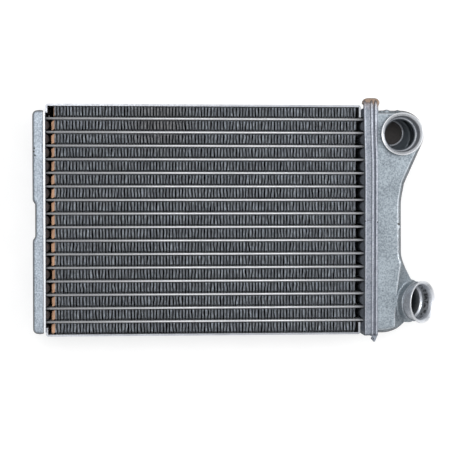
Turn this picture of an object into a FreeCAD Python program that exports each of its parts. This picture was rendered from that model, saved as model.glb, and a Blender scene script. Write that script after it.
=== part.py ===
import FreeCAD, Part
import math
import os
import re

import Sketcher

# Brazed aluminium heater core, lying on its back.
# Flat tubes and corrugated fins fill the middle. The right-hand tank is split
# by a baffle, so the coolant goes out through the upper tubes, turns in the
# left-hand tank and comes back through the lower ones.
#
# The layout below is measured from the middle of the core, with X to the
# tank that has the ports, Y along the tanks and Z up from the back of the
# headers. Each placement then moves the origin to the middle of the
# footprint, at the level that the core rests on.

DRIVING = (
    ("tube_count", 16, "flat tubes"),
    ("tube_pitch", 9.2, "from one tube to the next"),
    ("tube_thickness", 1.4, "flat tube, across Y"),
    ("tube_width", 32, "flat tube, across Z"),
    ("tube_wall", 0.35, "wall of a flat tube"),
    ("tube_nose", 0.4, "bevelled narrow edges of a flat tube"),
    ("tube_overrun", 2.5, "tube end inside its tank"),
    ("fin_waves", 24, "full waves in a fin strip"),
    ("fin_sheet", 0.15, "fin sheet"),
    ("fin_inset", 0.5, "fin strip inside the edges of the flat tubes"),
    ("fin_end_gap", 5.9, "from a header to the end of a fin strip"),
    ("plate_sheet", 1.3, "side plate sheet"),
    ("plate_bend", 1.6, "outer bend radius of a side plate"),
    ("return_tab", 4.7, "inward tab at the return header"),
    ("port_tab", 7.0, "inward tab at the port header"),
    ("header_span", 217.3, "between the two headers"),
    ("header_margin", 3, "header beyond the flat tubes, front and back"),
    ("header_sheet", 1.4, "header sheet"),
    ("header_edge", 1.2, "rounded long edge of the port header"),
    ("rib_height", 2.3, "header rib towards the core"),
    ("rib_margin", 0.4, "from a tube face to the foot of a rib"),
    ("port_header_width", 9.4, "port header, across X"),
    ("rib_slope", 3.2, "how far the ends of a rib slope back"),
    ("channel_inset", 1.7, "from the core side of the port header to its channel"),
    ("channel_depth", 0.35, "shallow channel along the port header"),
    ("bead_width", 1.6, "bead between the channel and the groove"),
    ("groove_width", 1.1, "groove along the port header"),
    ("groove_depth", 0.5, "groove along the port header"),
    ("lip_width", 1.5, "lip beyond the groove"),
    ("cap_rise", 8.3, "rounded end of the port header above the tank"),
    ("cap_swell", 1.6, "how far the rounded end is wider than the header"),
    ("cap_height", 5.2, "widened stretch of the rounded end"),
    ("cap_round", 3.4, "corner radius of the rounded end"),
    ("ear_drop", 4.4, "ear below the port header"),
    ("ear_width", 5.4, "ear where it leaves the header"),
    ("ear_neck", 3.4, "ear below its hollow side"),
    ("ear_hollow", 1.3, "hollow side of the ear"),
    ("ear_point", 0.9, "ear at its tip"),
    ("ear_slant", 1.8, "how far the outer edge of the ear runs in"),
    ("ear_depth", 5, "ear, across Z"),
    ("fit_clearance", 0.1, "between pieces that are brazed together"),
    ("tank_wall", 1.2, "tank sheet"),
    ("tank_edge", 2.4, "bevelled front and back edge of the port tank"),
    ("tank_foot", 8.2, "port tank below the last tube"),
    ("foot_corner", 19.5, "rounded lower corner of the port tank"),
    ("waist_reach", 15.7, "waist of the port tank beyond the header lip"),
    ("waist_drop", 31, "lower end of the waist below the middle"),
    ("waist_blend", 38, "hollow corner at the upper end of the waist"),
    ("waist_flare", 26, "hollow corner above the lower port"),
    ("lobe_margin", 3.5, "lobe beyond the neck of the upper port"),
    ("lobe_slope", 24, "degrees, lobe flank down to the waist"),
    ("upper_port_inset", 10.7, "upper port below the last tube"),
    ("upper_port_reach", 16.2, "upper port beyond the header lip"),
    ("upper_stand", 4.0, "upper port above its tank face"),
    ("lower_port_inset", 12.9, "lower port above the last tube"),
    ("lower_reach", 23.3, "lower lobe beyond the header lip"),
    ("lower_stand", 12.5, "lower port out of its boss"),
    ("port_tilt", 42, "degrees, lower port leans to the side"),
    ("ridge_start", 4, "ridge of the slanted face starts below the middle"),
    ("ridge_turn", 3.5, "degrees, ridge runs in towards the header"),
    ("socket_radius", 11.8, "socket in a port"),
    ("socket_depth", 9.0, "socket in a port"),
    ("socket_step", 1.6, "from the socket in to the bore behind it"),
    ("neck_wall", 1.0, "wall of a port neck round the socket"),
    ("neck_root", 5.0, "port neck inside the tank"),
    ("rim_flare", 1.8, "flared rim beyond the neck"),
    ("rim_height", 2.0, "flared rim"),
    ("collar_wall", 1.0, "collar drawn out of the tank for the lower port"),
    ("collar_height", 5.2, "collar drawn out of the tank for the lower port"),
    ("boss_shoulder", 1.1, "boss of the lower port beyond the collar"),
    ("return_width", 7.3, "return tank, across X"),
    ("return_margin", 5.9, "return tank beyond the last tube"),
    ("return_corner", 3.4, "rounded corner of the return tank"),
    ("return_edge", 1.2, "bevelled front and back edge of the return tank"),
    ("return_inset", 1.0, "return header inside the ends of its tank"),
    ("tank_drop", 1.25, "return tank sits lower than the core"),
    ("recess_depth", 1.7, "recess in the middle of the return tank"),
    ("recess_half", 11.2, "half the height of the recess"),
    ("recess_taper", 2.0, "sloping end of the recess"),
    ("baffle_sheet", 1.5, "baffle"),
    ("baffle_drop", 1.0, "baffle below the middle"),
    ("stake_width", 12, "baffle tab in the tank wall, across Z"),
    ("stake_proud", 0.5, "baffle tab outside the tank wall"),
)

DERIVED = (
    ("fin_height", "=tube_pitch - tube_thickness"),
    ("fin_depth", "=tube_width - 2 * fin_inset"),
    ("header_depth", "=tube_width + 2 * header_margin"),
    ("tube_row", "=tube_pitch * (tube_count - 1)"),
    ("core_half", "=(tube_row + tube_thickness) / 2"),
    ("plate_face", "=core_half + fin_height"),
    ("fin_length", "=header_span - 2 * fin_end_gap"),
    ("middle_level", "=header_depth / 2"),
    ("core_face", "=header_span / 2"),
    ("header_floor", "=core_face + header_sheet"),
    ("lip_x", "=core_face + port_header_width"),
    ("groove_far", "=lip_x - lip_width"),
    ("groove_near", "=groove_far - groove_width"),
    ("channel_near", "=core_face + channel_inset"),
    ("channel_far", "=groove_near - bead_width"),
    ("tank_back", "=header_sheet + fit_clearance"),
    ("tank_front", "=header_depth - tank_back"),
    ("inner_edge", "=tank_edge - tank_wall / 2"),
    ("bore_radius", "=socket_radius - socket_step"),
    ("neck_radius", "=socket_radius + neck_wall"),
    ("rim_radius", "=neck_radius + rim_flare"),
    ("collar_radius", "=neck_radius + fit_clearance + collar_wall"),
    ("boss_radius", "=collar_radius + boss_shoulder"),
    ("lobe_radius", "=neck_radius + lobe_margin"),
    ("upper_port_y", "=core_half - upper_port_inset"),
    ("upper_port_x", "=lip_x + upper_port_reach"),
    ("tank_top", "=upper_port_y + lobe_radius"),
    ("tank_foot_y", "=-core_half - tank_foot"),
    ("port_header_foot", "=tank_foot_y - fit_clearance - header_sheet"),
    ("waist_x", "=lip_x + waist_reach"),
    ("lower_x", "=lip_x + lower_reach"),
    ("lower_port_y", "=-core_half + lower_port_inset"),
    ("ridge_x", "=waist_x - (-ridge_start - lower_port_y) * tan(ridge_turn)"),
    ("boss_x", "=ridge_x + boss_radius * cos(port_tilt)"),
    ("boss_z", "=tank_front - boss_radius * sin(port_tilt)"),
    ("boss_to_wall", "=(boss_x + boss_radius * cos(port_tilt) - lower_x + tank_wall) / sin(port_tilt)"),
    ("boss_to_back", "=(boss_z - boss_radius * sin(port_tilt) - tank_back - fit_clearance) / cos(port_tilt)"),
    ("boss_length", "=min(boss_to_wall; boss_to_back)"),
    ("rim_x", "=boss_x + lower_stand * sin(port_tilt)"),
    ("slot_half", "=tube_thickness / 2 + fit_clearance"),
    ("rib_half", "=fin_height / 2 - rib_margin"),
    ("rib_round", "=(rib_half ^ 2 + rib_height ^ 2) / (2 * rib_height)"),
    ("rib_turn", "=asin(rib_half / rib_round)"),
    ("core_back", "=middle_level - tube_width / 2"),
    ("core_front", "=middle_level + tube_width / 2"),
    ("return_half", "=core_half + return_margin"),
    ("cap_top", "=tank_top + cap_rise"),
    ("ear_tip", "=port_header_foot - ear_drop"),
    ("left_end", "=-header_floor - return_width"),
    ("right_end", "=rim_x + rim_radius * cos(port_tilt)"),
    ("frame_x", "=-(left_end + right_end) / 2"),
    ("frame_y", "=-(cap_top + ear_tip) / 2"),
)

XY = "XY_Plane"
XZ = "XZ_Plane"
YZ = "YZ_Plane"

# How near an edge lies to where it is looked for, and how far a cut runs past a face.
CLOSE = 0.001
PAST = 1

doc = FreeCAD.newDocument("heater_core")
sheet = doc.addObject("Spreadsheet::Sheet", "sizes")


def fill_sheet():
    """Write every driving size as a plain number and every derived one as a formula."""
    row = 1
    for alias, value, note in DRIVING:
        sheet.set(f"A{row}", note)
        sheet.set(f"B{row}", str(value))
        sheet.setAlias(f"B{row}", alias)
        row += 1
    for alias, formula in DERIVED:
        sheet.set(f"A{row}", "worked out")
        sheet.set(f"B{row}", formula)
        sheet.setAlias(f"B{row}", alias)
        row += 1
    doc.recompute()


def size(alias):
    """Read one size of the sheet as a number."""
    return float(getattr(sheet, alias))


def cell(text):
    """Point each size that an expression names at its cell in the sheet."""
    return re.sub(r"\b[a-z]+(_[a-z]+)+\b", lambda found: "sizes." + found.group(0), text)


def bind(item, **expressions):
    """Tie properties to the sheet; a double underscore stands for a dot."""
    for path, text in expressions.items():
        item.setExpression(path.replace("__", "."), cell(text))


def seat(item, y="0"):
    """Bring a finished piece from the layout into the frame of the part."""
    bind(item, Placement__Base__x="frame_x", Placement__Base__y=f"frame_y + {y}")


def new_body(label):
    body = doc.addObject("PartDesign::Body", label)
    body.Label = label
    return body


def new_sketch(body, name, plane, level="0"):
    """Attach a sketch to an origin plane of its own body, at a level off that plane."""
    sketch = body.newObject("Sketcher::SketchObject", name)
    face = [item for item in body.Origin.OriginFeatures if item.Role == plane]
    sketch.AttachmentSupport = [(face[0], "")]
    sketch.MapMode = "FlatFace"
    bind(sketch, AttachmentOffset__Base__z=level)
    doc.recompute()
    return sketch


def pin_point(sketch, line, end, across, along):
    """Hold one end of a line at sizes of the sheet."""
    for kind, text in (("DistanceX", across), ("DistanceY", along)):
        value = float(sketch.evalExpression(cell(text)))
        number = sketch.addConstraint(Sketcher.Constraint(kind, -1, 1, line, end, value))
        sketch.setExpression(f"Constraints[{number}]", cell(text))


def draw_outline(sketch, corners):
    """Draw a closed outline of straight lines with each corner tied to the sheet."""
    points = []
    for across, along in corners:
        x = float(sketch.evalExpression(cell(across)))
        y = float(sketch.evalExpression(cell(along)))
        points.append(FreeCAD.Vector(x, y, 0))
    count = len(points)
    first = sketch.GeometryCount
    for step in range(count):
        line = Part.LineSegment(points[step], points[(step + 1) % count])
        sketch.addGeometry(line, False)
    for step in range(count):
        following = first + (step + 1) % count
        sketch.addConstraint(Sketcher.Constraint("Coincident", first + step, 2, following, 1))
    for step, (across, along) in enumerate(corners):
        pin_point(sketch, first + step, 1, across, along)


def draw_rectangle(sketch, left, bottom, right, top):
    draw_outline(sketch, ((left, bottom), (right, bottom), (right, top), (left, top)))


def feature(body, kind, name, sketch, length=None):
    """Add a PartDesign feature on a sketch; an expression gives its length."""
    item = body.newObject(kind, name)
    item.Profile = sketch
    sketch.Visibility = False
    if length is not None:
        bind(item, Length=length)
    return item


def repeat(body, source, name, sketch, axis, length, count):
    """Repeat a feature in a row along an axis of its sketch."""
    row = body.newObject("PartDesign::LinearPattern", name)
    row.Originals = [source]
    row.Direction = (sketch, [axis])
    bind(row, Length=length, Occurrences=count)
    body.Tip = row
    doc.recompute()
    return row


def edges_where(shape, test):
    """Name the edges of a shape whose middle and run pass a test."""
    names = []
    for number, edge in enumerate(shape.Edges, 1):
        middle = edge.valueAt((edge.FirstParameter + edge.LastParameter) / 2)
        box = edge.BoundBox
        if test(middle, box):
            names.append(f"Edge{number}")
    return names


def upright(box):
    return box.XLength < CLOSE and box.YLength < CLOSE


def round_edges(body, base, name, radius, test):
    """Round the edges of a feature that pass a test."""
    names = edges_where(base.Shape, test)
    item = body.newObject("PartDesign::Fillet", name)
    item.Base = (base, names)
    bind(item, Radius=radius)
    body.Tip = item
    doc.recompute()
    return item


def bevel_edges(body, base, name, width, test):
    """Bevel the edges of a feature that pass a test."""
    item = body.newObject("PartDesign::Chamfer", name)
    item.Base = (base, edges_where(base.Shape, test))
    bind(item, Size=width)
    body.Tip = item
    doc.recompute()
    return item


def make_tubes():
    """Flat tubes with a flat channel, all drawn from one section."""
    section = doc.addObject("Sketcher::SketchObject", "tube_section")
    section.Placement.Rotation = FreeCAD.Rotation(FreeCAD.Vector(1, 1, 1), 120)
    half = "tube_thickness / 2"
    side = "tube_width / 2"
    draw_outline(section, (
        (half, f"tube_nose - {side}"),
        (half, f"{side} - tube_nose"),
        (f"{half} - tube_nose", side),
        (f"tube_nose - {half}", side),
        (f"-{half}", f"{side} - tube_nose"),
        (f"-{half}", f"tube_nose - {side}"),
        (f"tube_nose - {half}", f"-{side}"),
        (f"{half} - tube_nose", f"-{side}"),
    ))
    wide = f"{half} - tube_wall"
    deep = f"{side} - 2 * tube_wall"
    draw_rectangle(section, f"-({wide})", f"-({deep})", wide, deep)
    section.Visibility = False
    for number in range(int(size("tube_count"))):
        tube = doc.addObject("Part::Extrusion", f"flat_tube_{number + 1:02d}")
        tube.Label = tube.Name
        tube.Base = section
        tube.DirMode = "Custom"
        tube.Dir = FreeCAD.Vector(1, 0, 0)
        tube.Solid = True
        reach = "header_floor + tube_overrun"
        bind(tube, LengthFwd=reach, LengthRev=reach)
        seat(tube, f"tube_row / 2 - {number} * tube_pitch")
        bind(tube, Placement__Base__z="middle_level")


def fin_outline():
    """Zigzag outline of a fin strip, its crests one sheet apart on every fold."""
    waves = int(size("fin_waves"))
    length = size("fin_length")
    top = size("fin_height") / 2
    leg = length / (2 * waves)
    steep = math.hypot(leg, 2 * top)
    rise = size("fin_sheet") * steep / leg
    upper = []
    lower = []
    for fold in range(2 * waves + 1):
        x = -length / 2 + fold * leg
        if fold % 2:
            upper.append(FreeCAD.Vector(x, top, 0))
            lower.append(FreeCAD.Vector(x, top - rise, 0))
        else:
            upper.append(FreeCAD.Vector(x, -top + rise, 0))
            lower.append(FreeCAD.Vector(x, -top, 0))
    points = upper + lower[::-1]
    return Part.Face(Part.makePolygon(points + points[:1]))


def make_fins():
    """One folded outline, drawn out into a strip for every gap between the tubes."""
    outline = doc.addObject("Part::Feature", "fin_outline")
    outline.Shape = fin_outline()
    outline.Visibility = False
    for number in range(int(size("tube_count")) + 1):
        strip = doc.addObject("Part::Extrusion", f"fin_{number + 1:02d}")
        strip.Label = strip.Name
        strip.Base = outline
        strip.DirMode = "Custom"
        strip.Dir = FreeCAD.Vector(0, 0, 1)
        strip.Solid = True
        bind(strip, LengthFwd="fin_depth / 2", LengthRev="fin_depth / 2")
        seat(strip, f"tube_row / 2 + (0.5 - {number}) * tube_pitch")
        bind(strip, Placement__Base__z="middle_level")


def make_side_plate(label, side):
    """Plate along the core with both ends bent inwards against the headers."""
    body = new_body(label)
    sketch = new_sketch(body, f"{label}_section", XY, "core_back")
    face = f"{side} * plate_face"
    back = f"{side} * (plate_face + plate_sheet)"
    left = "-core_face"
    right = "core_face - rib_height"
    draw_outline(sketch, (
        (left, back),
        (left, f"{side} * (plate_face - return_tab)"),
        (f"{left} + plate_sheet", f"{side} * (plate_face - return_tab)"),
        (f"{left} + plate_sheet", face),
        (f"{right} - plate_sheet", face),
        (f"{right} - plate_sheet", f"{side} * (plate_face - port_tab)"),
        (right, f"{side} * (plate_face - port_tab)"),
        (right, back),
    ))
    plate = feature(body, "PartDesign::Pad", f"{label}_sheet", sketch, "tube_width")
    doc.recompute()
    outer = size("plate_face") + size("plate_sheet")

    def at_bend(middle, box):
        return upright(box) and abs(abs(middle.y) - outer) < CLOSE

    round_edges(body, plate, f"{label}_bends", "plate_bend", at_bend)
    seat(body)


def add_ribs(body, label, side, first, count):
    """Ribs of a header, one in each gap between the tubes, with sloping ends."""
    sketch = new_sketch(body, f"{label}_rib", XY, "core_back")
    corners = []
    for share in (-1, -0.6, -0.2, 0.2, 0.6, 1):
        rise = f"(rib_round * (cos({share} * rib_turn) - 1) + rib_height)"
        corners.append((
            f"{side} * (core_face - {rise})",
            f"{first} + rib_round * sin({share} * rib_turn)",
        ))
    draw_outline(sketch, corners)
    rib = feature(body, "PartDesign::Pad", f"{label}_rib_pad", sketch, "tube_width")
    body.Tip = rib
    doc.recompute()
    span = f"({count} - 1) * tube_pitch"
    repeat(body, rib, f"{label}_ribs", sketch, "V_Axis", span, count)
    ends = new_sketch(body, f"{label}_rib_ends", XZ)
    face = f"{side} * core_face"
    beyond = f"{side} * (core_face - 2 * rib_height)"
    for level, way in (("core_back", -1), ("core_front", 1)):
        draw_outline(ends, (
            (face, level),
            (beyond, f"{level} - {way} * 2 * rib_slope"),
            (beyond, f"{level} + {way * PAST}"),
            (face, f"{level} + {way * PAST}"),
        ))
    along = "tube_pitch * (tube_count + 1)"
    slopes = feature(body, "PartDesign::Pocket", f"{label}_rib_slopes", ends, along)
    slopes.Midplane = True
    body.Tip = slopes
    doc.recompute()


def add_slots(body, label, level):
    """Slots through a header, one for every tube."""
    sketch = new_sketch(body, f"{label}_slot", YZ, level)
    low = "-tube_row / 2"
    deep = "tube_width / 2 + fit_clearance"
    draw_rectangle(
        sketch,
        f"{low} - slot_half", f"middle_level - ({deep})",
        f"{low} + slot_half", f"middle_level + {deep}",
    )
    slot = feature(body, "PartDesign::Pocket", f"{label}_slot_cut", sketch, "header_sheet")
    body.Tip = slot
    doc.recompute()
    repeat(body, slot, f"{label}_slots", sketch, "H_Axis", "tube_row", "tube_count")


def make_return_header():
    """Flat header of the return tank, ribbed between its tubes."""
    label = "return_header"
    body = new_body(label)
    sketch = new_sketch(body, f"{label}_outline", XY)
    reach = "(return_half - return_inset)"
    draw_rectangle(
        sketch,
        "-header_floor", f"-tank_drop - {reach}",
        "-core_face", f"-tank_drop + {reach}",
    )
    feature(body, "PartDesign::Pad", f"{label}_sheet", sketch, "header_depth")
    doc.recompute()
    add_ribs(body, label, -1, "(tube_pitch - tube_row) / 2", "tube_count - 1")
    add_slots(body, label, "-core_face")
    seat(body)


def make_port_header():
    """Deep header pan with a rounded upper end and an ear below it."""
    label = "port_header"
    body = new_body(label)
    sketch = new_sketch(body, f"{label}_outline", XY)
    shoulder = "(cap_top - cap_height)"
    draw_outline(sketch, (
        ("core_face", "port_header_foot"),
        ("core_face", shoulder),
        ("core_face - cap_swell", f"{shoulder} + cap_swell"),
        ("core_face - cap_swell", "cap_top"),
        ("lip_x + cap_swell / 2", "cap_top"),
        ("lip_x + cap_swell / 2", f"{shoulder} + cap_swell"),
        ("lip_x", shoulder),
        ("lip_x", "port_header_foot"),
    ))
    block = feature(body, "PartDesign::Pad", f"{label}_block", sketch, "header_depth")
    doc.recompute()
    top = size("cap_top")

    def at_cap(middle, box):
        return upright(box) and abs(middle.y - top) < CLOSE

    block = round_edges(body, block, f"{label}_cap", "cap_round", at_cap)
    face = size("core_face")

    def at_core_edge(middle, box):
        flat = box.XLength < CLOSE and box.ZLength < CLOSE
        return flat and abs(middle.x - face) < CLOSE

    round_edges(body, block, f"{label}_long_edges", "header_edge", at_core_edge)

    cavity = new_sketch(body, f"{label}_cavity", YZ, "header_floor")
    draw_rectangle(
        cavity,
        "tank_foot_y - fit_clearance", "header_sheet",
        "tank_top + fit_clearance", "header_depth - header_sheet",
    )
    deep = "port_header_width + cap_swell"
    hollow = feature(body, "PartDesign::Pocket", f"{label}_hollow", cavity, deep)
    hollow.Reversed = True
    body.Tip = hollow
    doc.recompute()

    ear = new_sketch(body, f"{label}_ear", XY, "header_depth - ear_depth")
    inside = "(port_header_foot + header_sheet / 2)"
    draw_outline(ear, (
        ("lip_x", inside),
        ("lip_x", "port_header_foot"),
        ("lip_x - ear_slant", "ear_tip"),
        ("lip_x - ear_slant - ear_point", "ear_tip"),
        ("lip_x - ear_neck", "port_header_foot - ear_hollow"),
        ("lip_x - ear_width", "port_header_foot"),
        ("lip_x - ear_width", inside),
    ))
    body.Tip = feature(body, "PartDesign::Pad", f"{label}_ear_pad", ear, "ear_depth")
    doc.recompute()

    grooves = new_sketch(body, f"{label}_groove", XZ)
    above = f"header_depth + {PAST}"
    below = f"-{PAST}"
    for near, far, depth in (
            ("groove_near", "groove_far", "groove_depth"),
            ("channel_near", "channel_far", "channel_depth")):
        draw_rectangle(grooves, near, f"header_depth - {depth}", far, above)
        draw_rectangle(grooves, near, below, far, depth)
    full = "2 * (cap_top - ear_tip)"
    long_cut = feature(body, "PartDesign::Pocket", f"{label}_grooves", grooves, full)
    long_cut.Midplane = True
    body.Tip = long_cut
    doc.recompute()
    add_ribs(body, label, 1, "-(tube_pitch + tube_row) / 2", "tube_count + 1")
    add_slots(body, label, "header_floor")
    seat(body)


def tank_form(label, inset, near, back, front, edge):
    """Body of the port tank, or of the space inside it, drawn inwards by an inset."""
    body = new_body(label)
    sketch = new_sketch(body, f"{label}_outline", XY, back)
    top = f"(tank_top - {inset})"
    radius = f"(lobe_radius - {inset})"
    waist = f"(waist_x - {inset})"
    flank_x = f"(upper_port_x + {radius} * cos(lobe_slope))"
    flank_y = f"(upper_port_y - {radius} * sin(lobe_slope))"
    flank_foot = f"({flank_y} - ({flank_x} - {waist}) / tan(lobe_slope))"
    lower = f"(lower_x - {inset})"
    lower_top = "(lower_port_y + boss_radius)"
    foot = f"(tank_foot_y + {inset})"
    corners = (
        (near, top),
        ("upper_port_x", top),
        (flank_x, flank_y),
        (waist, flank_foot),
        (waist, "-waist_drop"),
        (lower, lower_top),
        (lower, foot),
        (near, foot),
    )
    points = []
    for across, along in corners:
        x = float(sketch.evalExpression(cell(across)))
        y = float(sketch.evalExpression(cell(along)))
        points.append(FreeCAD.Vector(x, y, 0))
    turn = math.radians(size("lobe_slope"))
    centre = FreeCAD.Vector(size("upper_port_x"), size("upper_port_y"), 0)
    r = float(sketch.evalExpression(cell(radius)))
    crown = Part.ArcOfCircle(
        Part.Circle(centre, FreeCAD.Vector(0, 0, 1), r), -turn, math.pi / 2)
    count = len(points)
    for step in range(count):
        if step == 1:
            sketch.addGeometry(crown, False)
        else:
            sketch.addGeometry(Part.LineSegment(points[step], points[(step + 1) % count]), False)
    for step in range(count):
        following = (step + 1) % count
        end = 1 if step == 1 else 2
        start = 2 if following == 1 else 1
        sketch.addConstraint(Sketcher.Constraint("Coincident", step, end, following, start))
    for step, (across, along) in enumerate(corners):
        if step not in (1, 2):
            pin_point(sketch, step, 1, across, along)
    pin_point(sketch, 1, 3, "upper_port_x", "upper_port_y")
    pin_point(sketch, 2, 1, flank_x, flank_y)
    number = sketch.addConstraint(Sketcher.Constraint("DistanceX", -1, 1, 0, 2, centre.x))
    sketch.setExpression(f"Constraints[{number}]", cell("upper_port_x"))
    pad = feature(body, "PartDesign::Pad", f"{label}_block", sketch, f"{front} - ({back})")
    doc.recompute()

    def at_corner(corner):
        def test(middle, box):
            beside = abs(middle.x - corner.x) < CLOSE
            return upright(box) and beside and abs(middle.y - corner.y) < CLOSE
        return test

    pad = round_edges(body, pad, f"{label}_waist", "waist_blend", at_corner(points[3]))
    pad = round_edges(body, pad, f"{label}_flare", "waist_flare", at_corner(points[4]))
    pad = round_edges(body, pad, f"{label}_foot", f"foot_corner - {inset}", at_corner(points[6]))
    low = float(sketch.evalExpression(cell(back)))
    high = float(sketch.evalExpression(cell(front)))

    def at_rim(middle, box):
        flat = box.ZLength < CLOSE
        open_side = box.XLength < CLOSE and abs(middle.x - points[0].x) < CLOSE
        on_face = abs(middle.z - low) < CLOSE or abs(middle.z - high) < CLOSE
        return flat and not open_side and on_face

    pad = bevel_edges(body, pad, f"{label}_edges", edge, at_rim)

    # The slanted face falls away from a ridge that runs in towards the header.
    slant = new_sketch(body, f"{label}_slant", XZ, "ridge_start")
    drop = f"({inset} / cos(port_tilt))"
    ridge = f"({front} - {drop} + {inset})"
    far = "lower_reach"
    draw_outline(slant, (
        (f"waist_x - {far}", f"{ridge} + {far} * tan(port_tilt)"),
        (f"waist_x + {far}", f"{ridge} - {far} * tan(port_tilt)"),
        (f"waist_x + {far}", f"{ridge} + {far} * tan(port_tilt)"),
    ))
    cut = feature(body, "PartDesign::Pocket", f"{label}_slant_cut", slant)
    run = math.radians(size("ridge_turn"))
    cut.UseCustomVector = True
    cut.Direction = FreeCAD.Vector(-math.sin(run), -math.cos(run), 0)
    bind(cut, Length="tank_foot_y * -2")
    body.Tip = cut
    doc.recompute()

    boss = body.newObject("PartDesign::AdditiveCylinder", f"{label}_boss")
    boss.Placement.Rotation = FreeCAD.Rotation(FreeCAD.Vector(0, 1, 0), size("port_tilt"))
    back_off = f"(boss_length - {inset})"
    bind(
        boss,
        Radius=f"boss_radius - {inset}",
        Height=f"boss_length - 2 * {inset}",
        Placement__Base__x=f"boss_x - {back_off} * sin(port_tilt)",
        Placement__Base__y="lower_port_y",
        Placement__Base__z=f"boss_z - {back_off} * cos(port_tilt)",
    )
    body.Tip = boss
    doc.recompute()
    return body


def make_port_tank():
    """Hollow tank with a hole for each port and a slot for the baffle's tab."""
    near = "header_floor + fit_clearance"
    outer = tank_form("tank_outside", "0", near, "tank_back", "tank_front", "tank_edge")
    inner = tank_form(
        "tank_inside", "tank_wall", "header_floor",
        "tank_back + tank_wall", "tank_front - tank_wall", "inner_edge")
    collar = outer.newObject("PartDesign::AdditiveCylinder", "lower_collar")
    collar.Placement.Rotation = FreeCAD.Rotation(FreeCAD.Vector(0, 1, 0), size("port_tilt"))
    bind(
        collar,
        Radius="collar_radius",
        Height="tank_wall + collar_height",
        Placement__Base__x="boss_x - tank_wall * sin(port_tilt)",
        Placement__Base__y="lower_port_y",
        Placement__Base__z="boss_z - tank_wall * cos(port_tilt)",
    )
    outer.Tip = collar
    upper = doc.addObject("Part::Cylinder", "upper_hole")
    bind(
        upper,
        Radius="neck_radius + fit_clearance",
        Height="tank_wall * 3",
        Placement__Base__x="upper_port_x",
        Placement__Base__y="upper_port_y",
        Placement__Base__z="tank_front - tank_wall * 2",
    )
    lower = doc.addObject("Part::Cylinder", "lower_hole")
    lower.Placement.Rotation = FreeCAD.Rotation(FreeCAD.Vector(0, 1, 0), size("port_tilt"))
    bind(
        lower,
        Radius="neck_radius + fit_clearance",
        Height="tank_wall * 3 + collar_height",
        Placement__Base__x="boss_x - 2 * tank_wall * sin(port_tilt)",
        Placement__Base__y="lower_port_y",
        Placement__Base__z="boss_z - 2 * tank_wall * cos(port_tilt)",
    )
    slot = doc.addObject("Part::Box", "stake_slot")
    bind(
        slot,
        Length="tank_wall * 3",
        Width="baffle_sheet + 2 * fit_clearance",
        Height="stake_width + 2 * fit_clearance",
        Placement__Base__x="waist_x - 2 * tank_wall",
        Placement__Base__y="-baffle_drop - baffle_sheet / 2 - fit_clearance",
        Placement__Base__z="middle_level - stake_width / 2 - fit_clearance",
    )
    space = doc.addObject("Part::MultiFuse", "tank_space")
    space.Shapes = [inner, upper, lower, slot]
    tank = doc.addObject("Part::Cut", "inlet_outlet_tank")
    tank.Label = "inlet_outlet_tank"
    tank.Base = outer
    tank.Tool = space
    seat(tank)


def make_port(label, stand):
    """Turned neck with a flared rim, a socket and a bore behind it."""
    body = new_body(label)
    sketch = new_sketch(body, f"{label}_profile", XZ)
    root = "-(tank_wall + neck_root)"
    shelf = f"({stand} - socket_depth)"
    draw_outline(sketch, (
        ("bore_radius", root),
        ("neck_radius", root),
        ("neck_radius", f"{stand} - rim_height"),
        ("rim_radius", f"{stand} - rim_height"),
        ("rim_radius", stand),
        ("socket_radius", stand),
        ("socket_radius", shelf),
        ("bore_radius", shelf),
    ))
    turned = feature(body, "PartDesign::Revolution", f"{label}_turned", sketch)
    turned.ReferenceAxis = (sketch, ["V_Axis"])
    turned.Angle = 360
    body.Tip = turned
    doc.recompute()
    return body


def make_ports():
    """Upper port square to its tank face, lower port leaning to the side."""
    upper = make_port("upper_port", "upper_stand")
    seat(upper, "upper_port_y")
    bind(upper, Placement__Base__x="frame_x + upper_port_x", Placement__Base__z="tank_front")
    lower = make_port("lower_port", "lower_stand")
    lower.Placement.Rotation = FreeCAD.Rotation(FreeCAD.Vector(0, 1, 0), size("port_tilt"))
    seat(lower, "lower_port_y")
    bind(lower, Placement__Base__x="frame_x + boss_x", Placement__Base__z="boss_z")


def make_baffle():
    """Divider between the two halves of the port tank, staked through its wall."""
    body = new_body("baffle")
    sketch = new_sketch(body, "baffle_outline", XZ, "baffle_drop")
    inside = "(waist_x - tank_wall - fit_clearance)"
    low = "(tank_back + tank_wall + fit_clearance)"
    high = "(tank_front - tank_wall - fit_clearance)"
    cut = "inner_edge"
    draw_outline(sketch, (
        ("header_floor", low),
        (f"{inside} - {cut}", low),
        (inside, f"{low} + {cut}"),
        (inside, "middle_level - stake_width / 2"),
        ("waist_x + stake_proud", "middle_level - stake_width / 2"),
        ("waist_x + stake_proud", "middle_level + stake_width / 2"),
        (inside, "middle_level + stake_width / 2"),
        (inside, f"{high} - {cut}"),
        (f"{inside} - {cut}", high),
        ("header_floor", high),
    ))
    plate = feature(body, "PartDesign::Pad", "baffle_sheet_pad", sketch, "baffle_sheet")
    plate.Midplane = True
    seat(body)


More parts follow.
